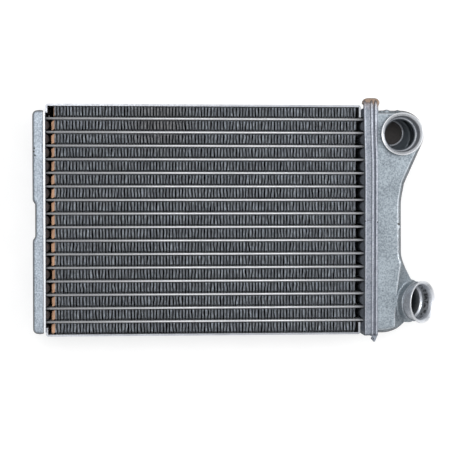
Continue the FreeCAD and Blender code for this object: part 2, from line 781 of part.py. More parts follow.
def return_form(label, inset, open_side, back, front, edge):
    """Body of the return tank, or of the space inside it, drawn inwards by an inset."""
    body = new_body(label)
    sketch = new_sketch(body, f"{label}_outline", XY, back)
    wall = f"(left_end + {inset})"
    deep = f"(left_end + recess_depth + {inset})"
    half = f"(recess_half + {inset} / 2)"
    top = f"(return_half - tank_drop - {inset})"
    foot = f"(-return_half - tank_drop + {inset})"
    draw_outline(sketch, (
        (open_side, foot),
        (open_side, top),
        (wall, top),
        (wall, f"{half} + recess_taper"),
        (deep, half),
        (deep, f"-{half}"),
        (wall, f"-{half} - recess_taper"),
        (wall, foot),
    ))
    pad = feature(body, "PartDesign::Pad", f"{label}_block", sketch, f"{front} - ({back})")
    doc.recompute()
    far = float(sketch.evalExpression(cell(wall)))
    end = float(sketch.evalExpression(cell(top)))
    other = float(sketch.evalExpression(cell(foot)))
    near = float(sketch.evalExpression(cell(open_side)))
    low = float(sketch.evalExpression(cell(back)))
    high = float(sketch.evalExpression(cell(front)))

    def at_corner(middle, box):
        at_end = abs(middle.y - end) < CLOSE or abs(middle.y - other) < CLOSE
        return upright(box) and abs(middle.x - far) < CLOSE and at_end

    pad = round_edges(body, pad, f"{label}_corners", f"return_corner - {inset}", at_corner)

    def at_edge(middle, box):
        flat = box.ZLength < CLOSE
        on_face = abs(middle.z - low) < CLOSE or abs(middle.z - high) < CLOSE
        return flat and on_face and not (box.XLength < CLOSE and abs(middle.x - near) < CLOSE)

    bevel_edges(body, pad, f"{label}_edges", edge, at_edge)
    return body


def make_return_tank():
    """Shallow pressed pan that closes the return header."""
    outer = return_form("return_outside", "0", "-header_floor", "0", "header_depth", "return_edge")
    inner = return_form(
        "return_inside", "tank_wall", f"-header_floor + {PAST}",
        "tank_wall", "header_depth - tank_wall", "return_edge / 2")
    tank = doc.addObject("Part::Cut", "return_tank")
    tank.Label = "return_tank"
    tank.Base = outer
    tank.Tool = inner
    seat(tank)


def pieces():
    """Every finished piece of the core, in the order of its making."""
    names = ["inlet_outlet_tank", "return_tank", "port_header", "return_header"]
    names += ["top_side_plate", "bottom_side_plate", "upper_port", "lower_port", "baffle"]
    count = int(size("tube_count"))
    names += [f"flat_tube_{number + 1:02d}" for number in range(count)]
    names += [f"fin_{number + 1:02d}" for number in range(count + 1)]
    return [doc.getObject(name) for name in names]


def check_and_write():
    """Stop on any failed object, then write one file for each piece."""
    doc.recompute()
    for item in doc.Objects:
        if {"Invalid", "Error"} & set(item.State):
            raise RuntimeError(f"{item.Name} failed: {item.State}")
    os.makedirs("parts", exist_ok=True)
    for piece in pieces():
        if piece.Shape.isNull() or not piece.Shape.isValid():
            raise RuntimeError(f"{piece.Name} has no sound shape")
    for piece in pieces():
        piece.Shape.exportStep(f"parts/{piece.Label}.step")


fill_sheet()
make_tubes()
make_fins()
make_side_plate("top_side_plate", 1)
make_side_plate("bottom_side_plate", -1)
make_return_header()
make_port_header()
make_port_tank()
make_ports()
make_baffle()
make_return_tank()
check_and_write()
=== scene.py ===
import math
from contextlib import contextmanager

import bmesh
import bpy
import numpy as np
from mathutils import Matrix, Vector


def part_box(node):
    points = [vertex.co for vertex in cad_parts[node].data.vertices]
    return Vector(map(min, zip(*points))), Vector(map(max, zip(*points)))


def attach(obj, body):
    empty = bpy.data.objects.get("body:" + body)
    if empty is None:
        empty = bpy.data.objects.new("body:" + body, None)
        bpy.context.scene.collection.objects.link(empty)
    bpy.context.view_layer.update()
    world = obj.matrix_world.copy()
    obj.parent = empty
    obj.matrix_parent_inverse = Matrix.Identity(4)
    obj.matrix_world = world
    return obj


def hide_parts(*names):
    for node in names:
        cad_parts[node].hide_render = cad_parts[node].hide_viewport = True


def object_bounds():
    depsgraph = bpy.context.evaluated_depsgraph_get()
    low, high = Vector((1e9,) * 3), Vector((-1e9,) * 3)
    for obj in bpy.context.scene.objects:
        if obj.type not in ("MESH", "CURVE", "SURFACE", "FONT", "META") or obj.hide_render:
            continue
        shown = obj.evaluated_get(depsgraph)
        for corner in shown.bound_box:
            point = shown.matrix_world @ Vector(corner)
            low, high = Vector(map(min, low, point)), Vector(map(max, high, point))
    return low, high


# Brazed aluminium heater core that lies on its back, seen from above.
# The frame gives its places and sizes. Lengths below are in millimetres, angles in degrees.

MM = 0.001
WELD = 0.02
SHEET_WELD = 0.002

# Fin strips
FOLD_PITCH = 2.17
FIN_SHEET = 0.1
CREST_STRAIGHT = 0.7
CREST_FLATS = 4
EDGE_BAND = 0.6
LOUVRE_WIDTH = 1.3
LOUVRES_A_SIDE = 3
LOUVRE_ANGLE = 46.0
LOUVRE_EXTRA = 0.5
LOUVRE_SHEAR = -0.55
FIN_BOW = 0.9
FIN_SWAY = 0.75
BOW_SPACING = 2.7
SWAY_SPACING = 4.1
END_SPLAY = 3.5
SPLAY_DEPTH = 11
SPLAY_POWER = 0.75
HAZE_PLACE = (-53.5, 66)
HAZE_REACH = 30

# Tubes and headers
TUBE_WALL = 0.3
TUBE_CORNER_FLATS = 6
TUBE_CORNER_SHARE = 0.49
RIB_HEIGHT = 2.3
HEADER_WIDTH = 9.4
HEADER_ABOVE_TANK = 1.5
HEADER_BEVEL = 0.25
BEVEL_STEPS = 3
BEVEL_FROM = 35
CAP_SWELL = 1.6
CAP_OVERHANG = 0.8
CAP_HEIGHT = 5.2
CAP_DEPTH = 5.0
CAP_ROUND = 3.4
CAP_FILLET = 0.8
CAP_TIP = 0.4
CAP_SUNK = 0.9
CAP_VOXEL = 0.3
CAP_SMOOTHING = 14
FACE_END = 1.5
FACE_DROP = 1.2
FACE_LEAN = 1.1
FACE_LEAN_START = 25
FACE_SHEET = 1.0
FACE_SEAT = FACE_SHEET + 0.2
FACE_ZONE = 0.8
FACE_ROWS = 120
FACE_PROFILE = (
    (0.0, -FACE_SEAT, 0), (HEADER_WIDTH, -FACE_SEAT, 0), (HEADER_WIDTH, -0.1, 0.35),
    (8.5, 0.38, 0.5), (7.75, 0.2, 0.35), (7.35, -0.75, 0.25), (6.6, -0.75, 0.25),
    (6.3, 0.05, 0.3), (5.6, 0.35, 0.5), (4.9, 0.05, 0.4), (4.4, -0.45, 0.4),
    (1.9, -0.4, 0.5), (1.3, 0.1, 0.3), (0.7, 0.3, 0.4), (0.15, -0.1, 0.3))
WITNESS_DOTS = (((87.45, -0.6), 0.65), ((95.8, -1.3), 0.7))
SCRIBED_LINE = (88.5, 91.6, -0.1, 0.22)
CURL_PLACE = (93.0, -81.6, 36)
CURL_PROFILE = ((0.5, -1.5, 0), (1.0, -1.5, 0), (1.0, 1.5, 0.2), (0.5, 1.5, 0.2))

# Ports
PORT_TILT = 42
PORT_STEPS = 96
CORNER_FLATS = 4
NECK_RADIUS = 12.8
NECK_ROOT = 6.2
RIM_RADIUS = 14.6
RIM_START = 2.8
RIM_HEIGHT = 1.2
RIM_LIP = 0.4
SOCKET_RADIUS = 11.8
SOCKET_DEPTH = 9.0
MOUTH_SPREAD = 0.7
MOUTH_LEDGE = 1.1
MOUTH_DEPTH = 3.4
BORE_RADIUS = 10.2
BORE_STEP = 0.8
COLLAR_REACH = 16
LOOK_IN = 15

# Tanks
TANK_VOXEL = 0.55
TANK_SMOOTHING = 12
TANK_SHARE = 0.3
TANK_WALL = 1.2
RETURN_SHARE = 0.35
BULGE_SPREAD = 4
WAIST_START = 7
WAIST_BLEND = 7
WAIST_TOP = 30
WAIST_FOOT = -52
WAIST_FADE = 9
WAIST_PULL = 0.9
TANK_BULGES = ((-37, 7, 1.7), (34, 7, -1.4), (-71, 2.5, 1.5))
TANK_LUMPS = (
    ((102.6, 75.3, 34.2), (1.8, 0.9, 1.6)),
    ((110.4, 75.2, 33.6), (1.2, 0.8, 1.3)),
    ((99.2, 75.2, 34.4), (1.0, 0.5, 1.2)),
    ((111.9, -4.9, 34.8), (1.0, 1.1, 1.0)),
)
RETURN_LUMPS = (
    ((-136.6, 73.6, 34.0), (1.1, 0.9, 2.0)),
    ((-133.4, 74.3, 35.4), (1.5, 0.5, 1.5)),
    ((-134.4, -76.6, 34.0), (1.6, 0.6, 1.6)),
)
BACK_RING = (111.8, 61.4)
BACK_RING_RADIUS = 8.9
BACK_RING_WIDTH = 1.3
BACK_RING_RISE = 0.8
BACK_RING_ROOT = 0.3
NICKS = ((-137.6, 48.7), (-137.2, 44.0), (-137.9, 46.6), (110.6, -2.6), (111.4, -2.9))
NICK_RADIUS = 0.8
TAB_END = 1.0
TAB_REACH = 1.3
TAB_BEVEL = 0.1

# Colours of marks and stains, and of painted shade, highlights and reflections
TANK_RIDGE_SHEEN_AND_WEAR = (0.86, 0.90, 0.95)
HOLLOW_DARKENING = (0.12, 0.10, 0.09)
EDGE_GLINT = (0.90, 0.94, 0.98)
EDGE_TURN_SHADE = (0.13, 0.105, 0.09)
NICK_DARK = (0.04, 0.035, 0.03)
INSIDE_SHADE = (0.10, 0.115, 0.13)
BACK_WALL_SHADE = (0.07, 0.06, 0.055)
HEADER_RIDGE_SHEEN_AND_WEAR = (0.82, 0.84, 0.92)
GROOVE_SHADE = (0.10, 0.10, 0.13)
DOT_DARK = (0.03, 0.03, 0.04)
LINE_DARK = (0.06, 0.06, 0.08)
RIM_HIGHLIGHT = (0.86, 0.88, 0.92)
RIB_SHADE = (0.035, 0.03, 0.028)
BROWN_REFLECTION = (0.28, 0.185, 0.12)
NECK_BROWN_REFLECTION = (0.36, 0.27, 0.21)
CONE_HIGHLIGHT = (0.86, 0.89, 0.94)
MOUTH_POLISH_AND_HIGHLIGHT = (0.95, 0.97, 1.0)
CRUST_DARK = (0.07, 0.075, 0.085)
HAZE_BROWN = (0.50, 0.38, 0.28)
FOLD_SHADE = (0.20, 0.21, 0.23)
FRONT_EDGE_SHADE = (0.22, 0.23, 0.25)
DEPTH_SHADE = (0.004, 0.004, 0.005)
FOLD_COPPER = (0.92, 0.56, 0.36)

# Shade on the floor, under the plates and the rows of fins
PLATE_END_INSET = 0.5
PLATE_INSET = 0.9
ROW_INSET = 4
ROW_OVERLAP = 2

# Studio, in metres
FLOOR_REACH = 4.0
LAMPS = (
    ("overhead", (-0.35, 0.35, 1.5), 1.2, 0.9, 7),
    ("side", (1.1, 0.25, 0.85), 0.5, 1.1, 7),
)

# Camera, from the places of the tubes, tanks and ports in the photograph
CAMERA_PLACE = (-69.4, 19.8, 886)
CAMERA_AIM = (-9.0, -3.15, 36)
CAMERA_LENS = 100

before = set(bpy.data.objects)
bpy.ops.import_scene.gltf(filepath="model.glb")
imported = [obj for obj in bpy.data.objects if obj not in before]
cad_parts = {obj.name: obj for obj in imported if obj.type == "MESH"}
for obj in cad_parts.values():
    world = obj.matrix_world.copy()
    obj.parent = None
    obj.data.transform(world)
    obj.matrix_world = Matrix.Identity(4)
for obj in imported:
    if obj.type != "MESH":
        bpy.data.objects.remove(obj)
cad_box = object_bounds()


# Node trees

class Flow:
    """A value on its way through a node tree, with plain arithmetic."""

    def __init__(self, wiring, socket):
        self.wiring = wiring
        self.socket = socket

    def __add__(self, other):
        return self.wiring.step("ADD", self, other)

    def __sub__(self, other):
        return self.wiring.step("SUBTRACT", self, other)

    def __rsub__(self, other):
        return self.wiring.step("SUBTRACT", other, self)

    def __mul__(self, other):
        return self.wiring.step("MULTIPLY", self, other)

    def __truediv__(self, other):
        return self.wiring.step("DIVIDE", self, other)

    def __rtruediv__(self, other):
        return self.wiring.step("DIVIDE", other, self)

    def __abs__(self):
        return self.wiring.step("ABSOLUTE", self)


class Wiring:
    """Adds nodes to a tree and joins them."""

    def __init__(self, tree):
        self.tree = tree

    def join(self, value, socket):
        if isinstance(value, Flow):
            self.tree.links.new(value.socket, socket)
        else:
            socket.default_value = value

    def put(self, kind, inputs=None, output=0, **settings):
        """Add a node, fill its inputs, and give back one output or a list of several."""
        node = self.tree.nodes.new(kind)
        for key, value in settings.items():
            setattr(node, key, value)
        for key, value in (inputs or {}).items():
            self.join(value, node.inputs[key])
        if isinstance(output, tuple):
            return [Flow(self, node.outputs[key]) for key in output]
        return Flow(self, node.outputs[output])

    def step(self, operation, *values):
        """One step of arithmetic."""
        return self.put("ShaderNodeMath", dict(enumerate(values)), operation=operation)

    def arrow(self, operation, first, second, output="Vector"):
        """One step of arithmetic with vectors."""
        key = "Scale" if operation == "SCALE" else 1
        return self.put("ShaderNodeVectorMath", {0: first, key: second}, output, operation=operation)

    def span(self, value, low, high, start=0.0, end=1.0, kind="SMOOTHSTEP"):
        """Map a value from one span to another, held at both ends."""
        return self.put("ShaderNodeMapRange", {
            "Value": value, "From Min": low, "From Max": high, "To Min": start, "To Max": end,
        }, "Result", clamp=True, interpolation_type=kind)

    def fade(self, value, low, high, start=0.0, end=1.0):
        """The same from a span in millimetres."""
        return self.span(value, low * MM, high * MM, start, end)

    def noise(self, place, scale, detail, roughness=0.5):
        return self.put("ShaderNodeTexNoise", {
            "Vector": place, "Scale": scale, "Detail": detail, "Roughness": roughness})

    def grey(self, tone):
        return self.put("ShaderNodeCombineColor", {"Red": tone, "Green": tone, "Blue": tone})

    def vector(self, x=0.0, y=0.0, z=0.0):
        return self.put("ShaderNodeCombineXYZ", {"X": x, "Y": y, "Z": z})

    def parts(self, value):
        return self.put("ShaderNodeSeparateXYZ", {"Vector": value}, ("X", "Y", "Z"))

    def position(self):
        return self.parts(self.put("GeometryNodeInputPosition"))

    def move(self, shape, **where):
        """Shift points by an Offset or send them to a Position."""
        return self.put("GeometryNodeSetPosition", {"Geometry": shape, **where})

    def transform(self, shape, **how):
        """Turn a shape by a Rotation or shift it by a Translation."""
        return self.put("GeometryNodeTransform", {"Geometry": shape, **how})

    def gather(self, *shapes):
        node = self.tree.nodes.new("GeometryNodeJoinGeometry")
        for shape in shapes:
            self.join(shape, node.inputs[0])
        return Flow(self, node.outputs[0])

    def grid(self, across, along, columns, rows):
        return self.put("GeometryNodeMeshGrid", {
            "Size X": across, "Size Y": along, "Vertices X": columns, "Vertices Y": rows,
        }, "Mesh")

    def draw_out(self, face, height, **way):
        """Closed solid between a face and its copy at a height."""
        raised = self.put("GeometryNodeExtrudeMesh", {
            "Mesh": face, "Offset Scale": height, "Individual": False, **way}, "Mesh", mode="FACES")
        under = self.put("GeometryNodeFlipFaces", {"Mesh": face})
        return self.put("GeometryNodeMergeByDistance", {
            "Geometry": self.gather(raised, under), "Distance": SHEET_WELD * MM})

    def thicken(self, shape, sheet):
        """Turn a surface into a closed sheet, half of it on each side."""
        back = self.arrow("SCALE", self.put("GeometryNodeInputNormal"), sheet * -0.5)
        return self.draw_out(self.move(shape, Offset=back), sheet)

    def row(self, shape, count, start, step):
        """Copies of a shape in a line."""
        line = self.put("GeometryNodeMeshLine", {
            "Count": count, "Start Location": start, "Offset": step}, mode="OFFSET")
        copies = self.put("GeometryNodeInstanceOnPoints", {"Points": line, "Instance": shape})
        return self.put("GeometryNodeRealizeInstances", {"Geometry": copies})

    def finish(self, shape, material):
        """End the tree with real geometry that carries the material."""
        real = self.put("GeometryNodeRealizeInstances", {"Geometry": shape})
        painted = self.put("GeometryNodeSetMaterial", {"Geometry": real, "Material": material})
        self.put("NodeGroupOutput", {"Geometry": painted}, ())
        return self.tree


NUMBER = "NodeSocketFloat"
COLOUR = "NodeSocketColor"
PLACE = "NodeSocketVector"


def new_tree(name, kind, inputs, outputs):
    """Wiring of a new node group, and its inputs by name."""
    tree = bpy.data.node_groups.new(name, kind)
    for way, sockets in (("OUTPUT", outputs), ("INPUT", inputs)):
        for label, socket_type, *value in sockets:
            socket = tree.interface.new_socket(label, in_out=way, socket_type=socket_type)
            if value:
                socket.default_value = value[0]
    wiring = Wiring(tree)
    way_in = tree.nodes.new("NodeGroupInput")
    return wiring, {socket.name: Flow(wiring, socket) for socket in way_in.outputs}


def new_shape_tree(name, sizes):
    """A geometry tree with a named input for each size and one for the material."""
    inputs = [
        (label, "NodeSocketInt" if label.endswith("Count") or label == "Seed" else NUMBER)
        for label in sizes]
    inputs.append(("Material", "NodeSocketMaterial"))
    return new_tree(name, "GeometryNodeTree", inputs, [("Geometry", "NodeSocketGeometry")])


def add_piece(name, data):
    piece = bpy.data.objects.new(name, data)
    bpy.context.scene.collection.objects.link(piece)
    return piece


def keep_result(carrier, name, material):
    """Replace an object with modifiers by a plain mesh of the same shape."""
    carrier.data.update()
    bpy.context.view_layer.update()
    graph = bpy.context.evaluated_depsgraph_get()
    mesh = bpy.data.meshes.new_from_object(carrier.evaluated_get(graph), depsgraph=graph)
    mesh.name = name
    if not mesh.materials:
        mesh.materials.append(material)
    bpy.data.objects.remove(carrier)
    return add_piece(name, mesh)


def grow(name, tree, material, **sizes):
    """Run a tree with these sizes and keep the result as a plain mesh piece."""
    carrier = add_piece(name + "_carrier", bpy.data.meshes.new(name + "_carrier"))
    modifier = carrier.modifiers.new("grow", "NODES")
    modifier.node_group = tree
    sizes["material"] = material
    for item in tree.interface.items_tree:
        if item.in_out == "INPUT":
            modifier[item.identifier] = sizes[item.name.lower().replace(" ", "_")]
    return keep_result(carrier, name, material)


def settle(piece, slot, *nodes):
    """Say what a finished piece rides on and stands for; the slot is not used."""
    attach(piece, "root")
    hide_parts(*nodes)


# Materials

def make_grain_group():
    """Fine cast-looking speckle, cloudy patches and sparse dark pits."""
    wiring, way_in = new_tree("metal_grain", "ShaderNodeTree", (
        ("Place", PLACE),
        ("Light Metal", COLOUR, (0.6, 0.6, 0.6, 1)),
        ("Dark Metal", COLOUR, (0.4, 0.4, 0.4, 1)),
        ("Speckle Size", NUMBER, 0.9),
        ("Speckle", NUMBER, 0.6),
        ("Cloud Size", NUMBER, 14),
        ("Cloud", NUMBER, 0.4),
        ("Pits", NUMBER, 0.3),
    ), (("Color", COLOUR), ("Grain", NUMBER)))
    place = way_in["Place"]
    fine = wiring.noise(place, 1 / MM / way_in["Speckle Size"], 3.0, 0.6)
    cloud = wiring.noise(place, 1 / MM / way_in["Cloud Size"], 4.0, 0.55)
    distance, cell = wiring.put("ShaderNodeTexVoronoi", {
        "Vector": place, "Scale": 0.25 / MM / way_in["Speckle Size"],
    }, ("Distance", "Color"))
    chance = wiring.put("ShaderNodeSeparateColor", {"Color": cell})
    pitted = wiring.span(distance, 0.07, 0.19, 1.0, 0.0) * wiring.span(chance, 0.45, 0.75)
    speckled = (1.0 - wiring.span(fine, 0.36, 0.64)) * way_in["Speckle"]
    clouded = (1.0 - wiring.span(cloud, 0.3, 0.7)) * way_in["Cloud"]
    pits = pitted * way_in["Pits"]
    dark = wiring.step("MINIMUM", speckled + clouded + pits, 1.0)
    colour = wiring.put("ShaderNodeMix", {
        0: dark, 6: way_in["Light Metal"], 7: way_in["Dark Metal"]}, 2, data_type="RGBA")
    wiring.put("NodeGroupOutput", {"Color": colour, "Grain": fine - pits * 0.5}, ())
    return wiring.tree


def make_soft_tint_group():
    """A soft, broken-edged mask that lies between two values of a distance."""
    wiring, way_in = new_tree("heat_stain", "ShaderNodeTree", (
        ("Place", PLACE),
        ("Distance", NUMBER, 0.0),
        ("Full", NUMBER, 0.0),
        ("Gone", NUMBER, 1.0),
        ("Break Up", NUMBER, 0.3),
        ("Break Size", NUMBER, 3.0),
    ), (("Mask", NUMBER),))
    noise = wiring.noise(way_in["Place"], 1 / MM / way_in["Break Size"], 3.0)
    broken = way_in["Distance"] + (noise - 0.5) * way_in["Break Up"] * MM
    mask = wiring.span(broken, way_in["Full"], way_in["Gone"], 1.0, 0.0)
    wiring.put("NodeGroupOutput", {"Mask": mask}, ())
    return wiring.tree


GRAIN = make_grain_group()
SOFT_TINT = make_soft_tint_group()


class Finish(Wiring):
    """A material that starts from the grain of brazed aluminium."""

    def __init__(self, name, light, dark, metallic, rough, **grain):
        self.material = bpy.data.materials.new(name)
        self.material.use_nodes = True
        super().__init__(self.material.node_tree)
        self.shader = self.tree.nodes["Principled BSDF"].inputs
        self.shader["Metallic"].default_value = metallic
        self.place = self.put("ShaderNodeTexCoord", output="Object")
        self.x, self.y, self.z = self.parts(self.place)
        grain = {label.replace("_", " ").title(): value for label, value in grain.items()}
        self.colour, self.grain = self.put("ShaderNodeGroup", {
            "Place": self.place, "Light Metal": light + (1,), "Dark Metal": dark + (1,), **grain,
        }, ("Color", "Grain"), node_tree=GRAIN)
        smoothest, roughest = rough
        self.rough = self.span(self.grain, 0.3, 0.7, roughest, smoothest)

    def tint(self, mask, colour):
        self.colour = self.put("ShaderNodeMix", {
            0: mask, 6: self.colour, 7: colour + (1,)}, 2, data_type="RGBA")

    def soft_tint(self, distance, full, gone, colour, strength, break_up):
        """Tint the metal where a distance is under a limit, with a broken edge."""
        mask = self.put("ShaderNodeGroup", {
            "Place": self.place, "Distance": distance, "Full": full * MM, "Gone": gone * MM,
            "Break Up": break_up,
        }, "Mask", node_tree=SOFT_TINT)
        self.tint(mask * strength, colour)

    def spot(self, middle, radius, soft):
        """Mask of a round spot seen from the front."""
        x, y = middle
        from_middle = self.arrow("DISTANCE", self.vector(self.x, self.y), (x * MM, y * MM, 0), "Value")
        return self.fade(from_middle, radius - soft, radius, 1.0, 0.0)

    def around(self, centre, axis):
        """Distance of every point from an axis, and how far along it the point lies."""
        arm = self.arrow("SUBTRACT", self.place, centre)
        along = self.arrow("DOT_PRODUCT", arm, axis, "Value")
        shadow = self.arrow("SCALE", axis, along)
        return self.arrow("DISTANCE", arm, shadow, "Value"), along

    def done(self, bump=0.0, depth=0.0):
        """Join the shader, with the grain as fine relief."""
        if bump:
            normal = self.put("ShaderNodeBump", {
                "Height": self.grain, "Strength": bump, "Distance": depth * MM})
            self.join(normal, self.shader["Normal"])
        self.join(self.colour, self.shader["Base Color"])
        self.join(self.rough, self.shader["Roughness"])
        return self.material


def port_axes():
    """Seat, axis and stand of both ports: where each neck leaves its tank, and how far."""
    low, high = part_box("upper_port")
    upper = Vector(((low.x + high.x) / 2, (low.y + high.y) / 2, low.z + NECK_ROOT * MM))
    upper_stand = high.z - upper.z
    tilt = math.radians(PORT_TILT)
    axis = Vector((math.sin(tilt), 0, math.cos(tilt)))
    low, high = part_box("lower_port")
    mouth_x = high.x - RIM_RADIUS * MM * math.cos(tilt)
    mouth_z = high.z - RIM_RADIUS * MM * math.sin(tilt)
    mouth = Vector((mouth_x, (low.y + high.y) / 2, mouth_z))
    root_x = low.x + NECK_RADIUS * MM * math.cos(tilt)
    root = mouth - axis * ((mouth_x - root_x) / math.sin(tilt))
    lower = root + axis * NECK_ROOT * MM
    return (upper, Vector((0, 0, 1)), upper_stand), (lower, axis, (mouth - lower).length)


def shade_inside(finish):
    """Painted shade inside the tank, where the ports let one look in, darkest on the back wall within
    the ring.
    """
    for centre, axis, _ in port_axes():
        across, along = finish.around(centre, axis)
        near = finish.fade(across, 0.95 * LOOK_IN, LOOK_IN, 1.0, 0.0)
        below = finish.fade(along, -2.5, -1.2, 1.0, 0.0)
        # Painted shade inside the tank below each port's opening.
        finish.tint(near * below * finish.fade(finish.z, 2.0, 2.5), INSIDE_SHADE)
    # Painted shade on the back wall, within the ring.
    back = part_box("inlet_outlet_tank")[0].z + 3 * MM
    deep = finish.span(finish.z, back, back + MM, 0.8, 0.0)
    finish.tint(deep * finish.spot(BACK_RING, BACK_RING_RADIUS - 0.5, 0.5), BACK_WALL_SHADE)


def edge_shade_and_glint(finish, glint):
    """Painted shade where the sheet turns away from the front, and a painted glint on the rounding
    before it.
    """
    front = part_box("return_tank")[1].z - 1.5 * MM
    tank_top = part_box("inlet_outlet_tank")[1].y
    lean = finish.parts(finish.put("ShaderNodeNewGeometry", output="Normal"))[2]
    near = finish.span(finish.z, front - 5 * MM, front - 3 * MM)
    centre, axis, _ = port_axes()[1]
    collar = finish.fade(finish.around(centre, axis)[0], COLLAR_REACH - 1, COLLAR_REACH, 1.0, 0.0)
    kept = near - near * collar
    # Painted glint on the rounding just before the edge.
    glint_band = finish.span(lean, 0.80, 0.88) * finish.span(lean, 0.965, 0.985, glint, 0.0)
    below_top = finish.span(finish.y, tank_top - 1.6 * MM, tank_top - 0.8 * MM, 1.0, 0.0)
    finish.tint(glint_band * below_top * kept, EDGE_GLINT)
    # Painted shade on the sheet where it turns away from the front.
    finish.tint(finish.span(lean, 0.5, 0.86, 0.8, 0.0) * kept, EDGE_TURN_SHADE)


def tank_metal(name, light, dark, glint):
    """Pale blue-grey tank sheet, matt from the brazing flux."""
    finish = Finish(
        name, light, dark, 0.8, (0.36, 0.56),
        speckle_size=1.0, speckle=0.62, cloud_size=13, cloud=0.3, pits=0.95)
    bulge_sheen_and_wear = finish.put("ShaderNodeAttribute", output="Fac", attribute_name="bulge_sheen_and_wear")
    # Painted highlight on ridges, partly wear, from how much the skin bulges.
    finish.tint(finish.span(bulge_sheen_and_wear, 0.04, 0.24, 0.0, 0.6), TANK_RIDGE_SHEEN_AND_WEAR)
    # Darker in hollows, by how far the skin sinks in.
    finish.tint(finish.span(bulge_sheen_and_wear, -0.30, -0.06, 0.6, 0.0), HOLLOW_DARKENING)
    edge_shade_and_glint(finish, glint)
    for nick in NICKS:
        finish.tint(finish.spot(nick, NICK_RADIUS, 0.5), NICK_DARK)
    shade_inside(finish)
    return finish.done(0.3, 0.15)


def header_metal(name, ridges, brown):
    """Header sheet with painted highlights, partly wear, along its ridges and front rim, painted shade
    in its grooves and on its ribs, and a painted brown reflection on its upper end.
    """
    finish = Finish(
        name, (0.36, 0.39, 0.44), (0.17, 0.19, 0.23), 0.8, (0.34, 0.52),
        speckle_size=1.0, speckle=0.6, cloud_size=9, cloud=0.35, pits=0.8)
    x, y, z = finish.x, finish.y, finish.z
    header_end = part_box("port_header")[1]
    if ridges:
        height = z - header_end.z
        # Painted highlight on the ridges of the face, partly wear.
        finish.tint(finish.fade(height, -0.1, 0.32, 0.0, ridges), HEADER_RIDGE_SHEEN_AND_WEAR)
        # Painted shade in the grooves of the face.
        finish.tint(finish.fade(height, -0.75, -0.5, 0.55, 0.0), GROOVE_SHADE)
        for place, radius in WITNESS_DOTS:
            finish.tint(finish.spot(place, radius, 0.3), DOT_DARK)
        start, end, level, half = SCRIBED_LINE
        inside = finish.fade(x, start, start + 0.3) * finish.fade(x, end - 0.3, end, 1.0, 0.0)
        on_line = finish.fade(abs(y - level * MM), 0.5 * half, half, 0.7, 0.0)
        finish.tint(on_line * inside, LINE_DARK)
    plate_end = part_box("return_header")[1]
    # Painted highlight along the return header's front rim.
    on_left = finish.fade(x, 0.0, 1.0, 1.0, 0.0)
    rim = finish.span(z, plate_end.z - 0.9 * MM, plate_end.z - 0.3 * MM)
    finish.tint(rim * on_left * 0.75, RIM_HIGHLIGHT)
    # Painted shade on the ribs, where they reach into the dark gap.
    rib_foot = plate_end.x - RIB_HEIGHT * MM
    rib = finish.span(x, rib_foot - 0.2 * MM, rib_foot + 0.2 * MM, 0.0, 0.7)
    finish.tint(rib * on_left, RIB_SHADE)
    # Painted brown reflection on the upper end of the header.
    finish.soft_tint(header_end.y - y, 2, 9, BROWN_REFLECTION, brown, 9)
    return finish.done(0.3, 0.12)


def port_metal():
    """Turned sockets, brighter than the tanks, with a painted brown reflection low on their necks,
    painted highlights on cone and mouth, and painted shade in their bores.
    """
    finish = Finish(
        "turned_port", (0.74, 0.77, 0.82), (0.34, 0.36, 0.40), 0.75, (0.26, 0.48),
        speckle_size=0.9, speckle=0.45, cloud_size=6, cloud=0.4, pits=0.5)
    for centre, axis, stand in port_axes():
        across, along = finish.around(centre, axis)
        own = finish.fade(across, RIM_RADIUS + 1, RIM_RADIUS + 2, 1.0, 0.0)
        # Painted shade down the bore.
        bore = finish.fade(across, BORE_RADIUS + 0.6, BORE_RADIUS + 0.9, 1.0, 0.0)
        finish.tint(bore * finish.fade(along, -3.0, 4.0, 1.0, 0.0), INSIDE_SHADE)
        # Painted brown reflection low on the neck's outer wall.
        neck = finish.fade(across, SOCKET_RADIUS + 0.5, SOCKET_RADIUS + 0.8, 0.0, 0.35)
        finish.tint(finish.fade(along, 1.0, 4.0, 1.0, 0.0) * neck * own, NECK_BROWN_REFLECTION)
        # Painted highlight on the flared cone inside the rim.
        cone = finish.span(along, stand - 3.2 * MM, stand - 0.9 * MM, 0.0, 0.65)
        finish.tint(cone * own, CONE_HIGHLIGHT)
        # Painted highlight on the mouth of the rim, partly polish from turning.
        mouth = finish.span(along, stand - 0.5 * MM, stand - 0.2 * MM, 0.0, 0.8)
        finish.tint(mouth * own, MOUTH_POLISH_AND_HIGHLIGHT)
        if axis.x > 0:
            # Only the leaning port has crusts of braze on its socket wall.
            crust = finish.noise(finish.place, 1 / (2.2 * MM), 2.0)
            wall = finish.fade(across, SOCKET_RADIUS + 0.2, SOCKET_RADIUS + 0.5, 1.0, 0.0)
            level = finish.span(along, stand - 7.5 * MM, stand - 7.0 * MM) * finish.span(
                along, stand - 4.2 * MM, stand - 3.6 * MM, 1.0, 0.0)
            finish.tint(wall * level * finish.span(crust, 0.47, 0.53, 0.0, 0.85), CRUST_DARK)
    return finish.done(0.25, 0.1)


def tube_metal():
    return Finish(
        "flat_tube_sheet", (0.84, 0.85, 0.87), (0.52, 0.53, 0.56), 0.5, (0.35, 0.5),
        speckle_size=1.4, speckle=0.3, cloud_size=10, cloud=0.25, pits=0.2).done(0.2, 0.06)


def plate_metal():
    return Finish(
        "side_plate_sheet", (0.52, 0.54, 0.58), (0.30, 0.31, 0.34), 0.9, (0.3, 0.48),
        speckle_size=1.0, speckle=0.45, cloud_size=10, cloud=0.35, pits=0.4).done(0.25, 0.08)


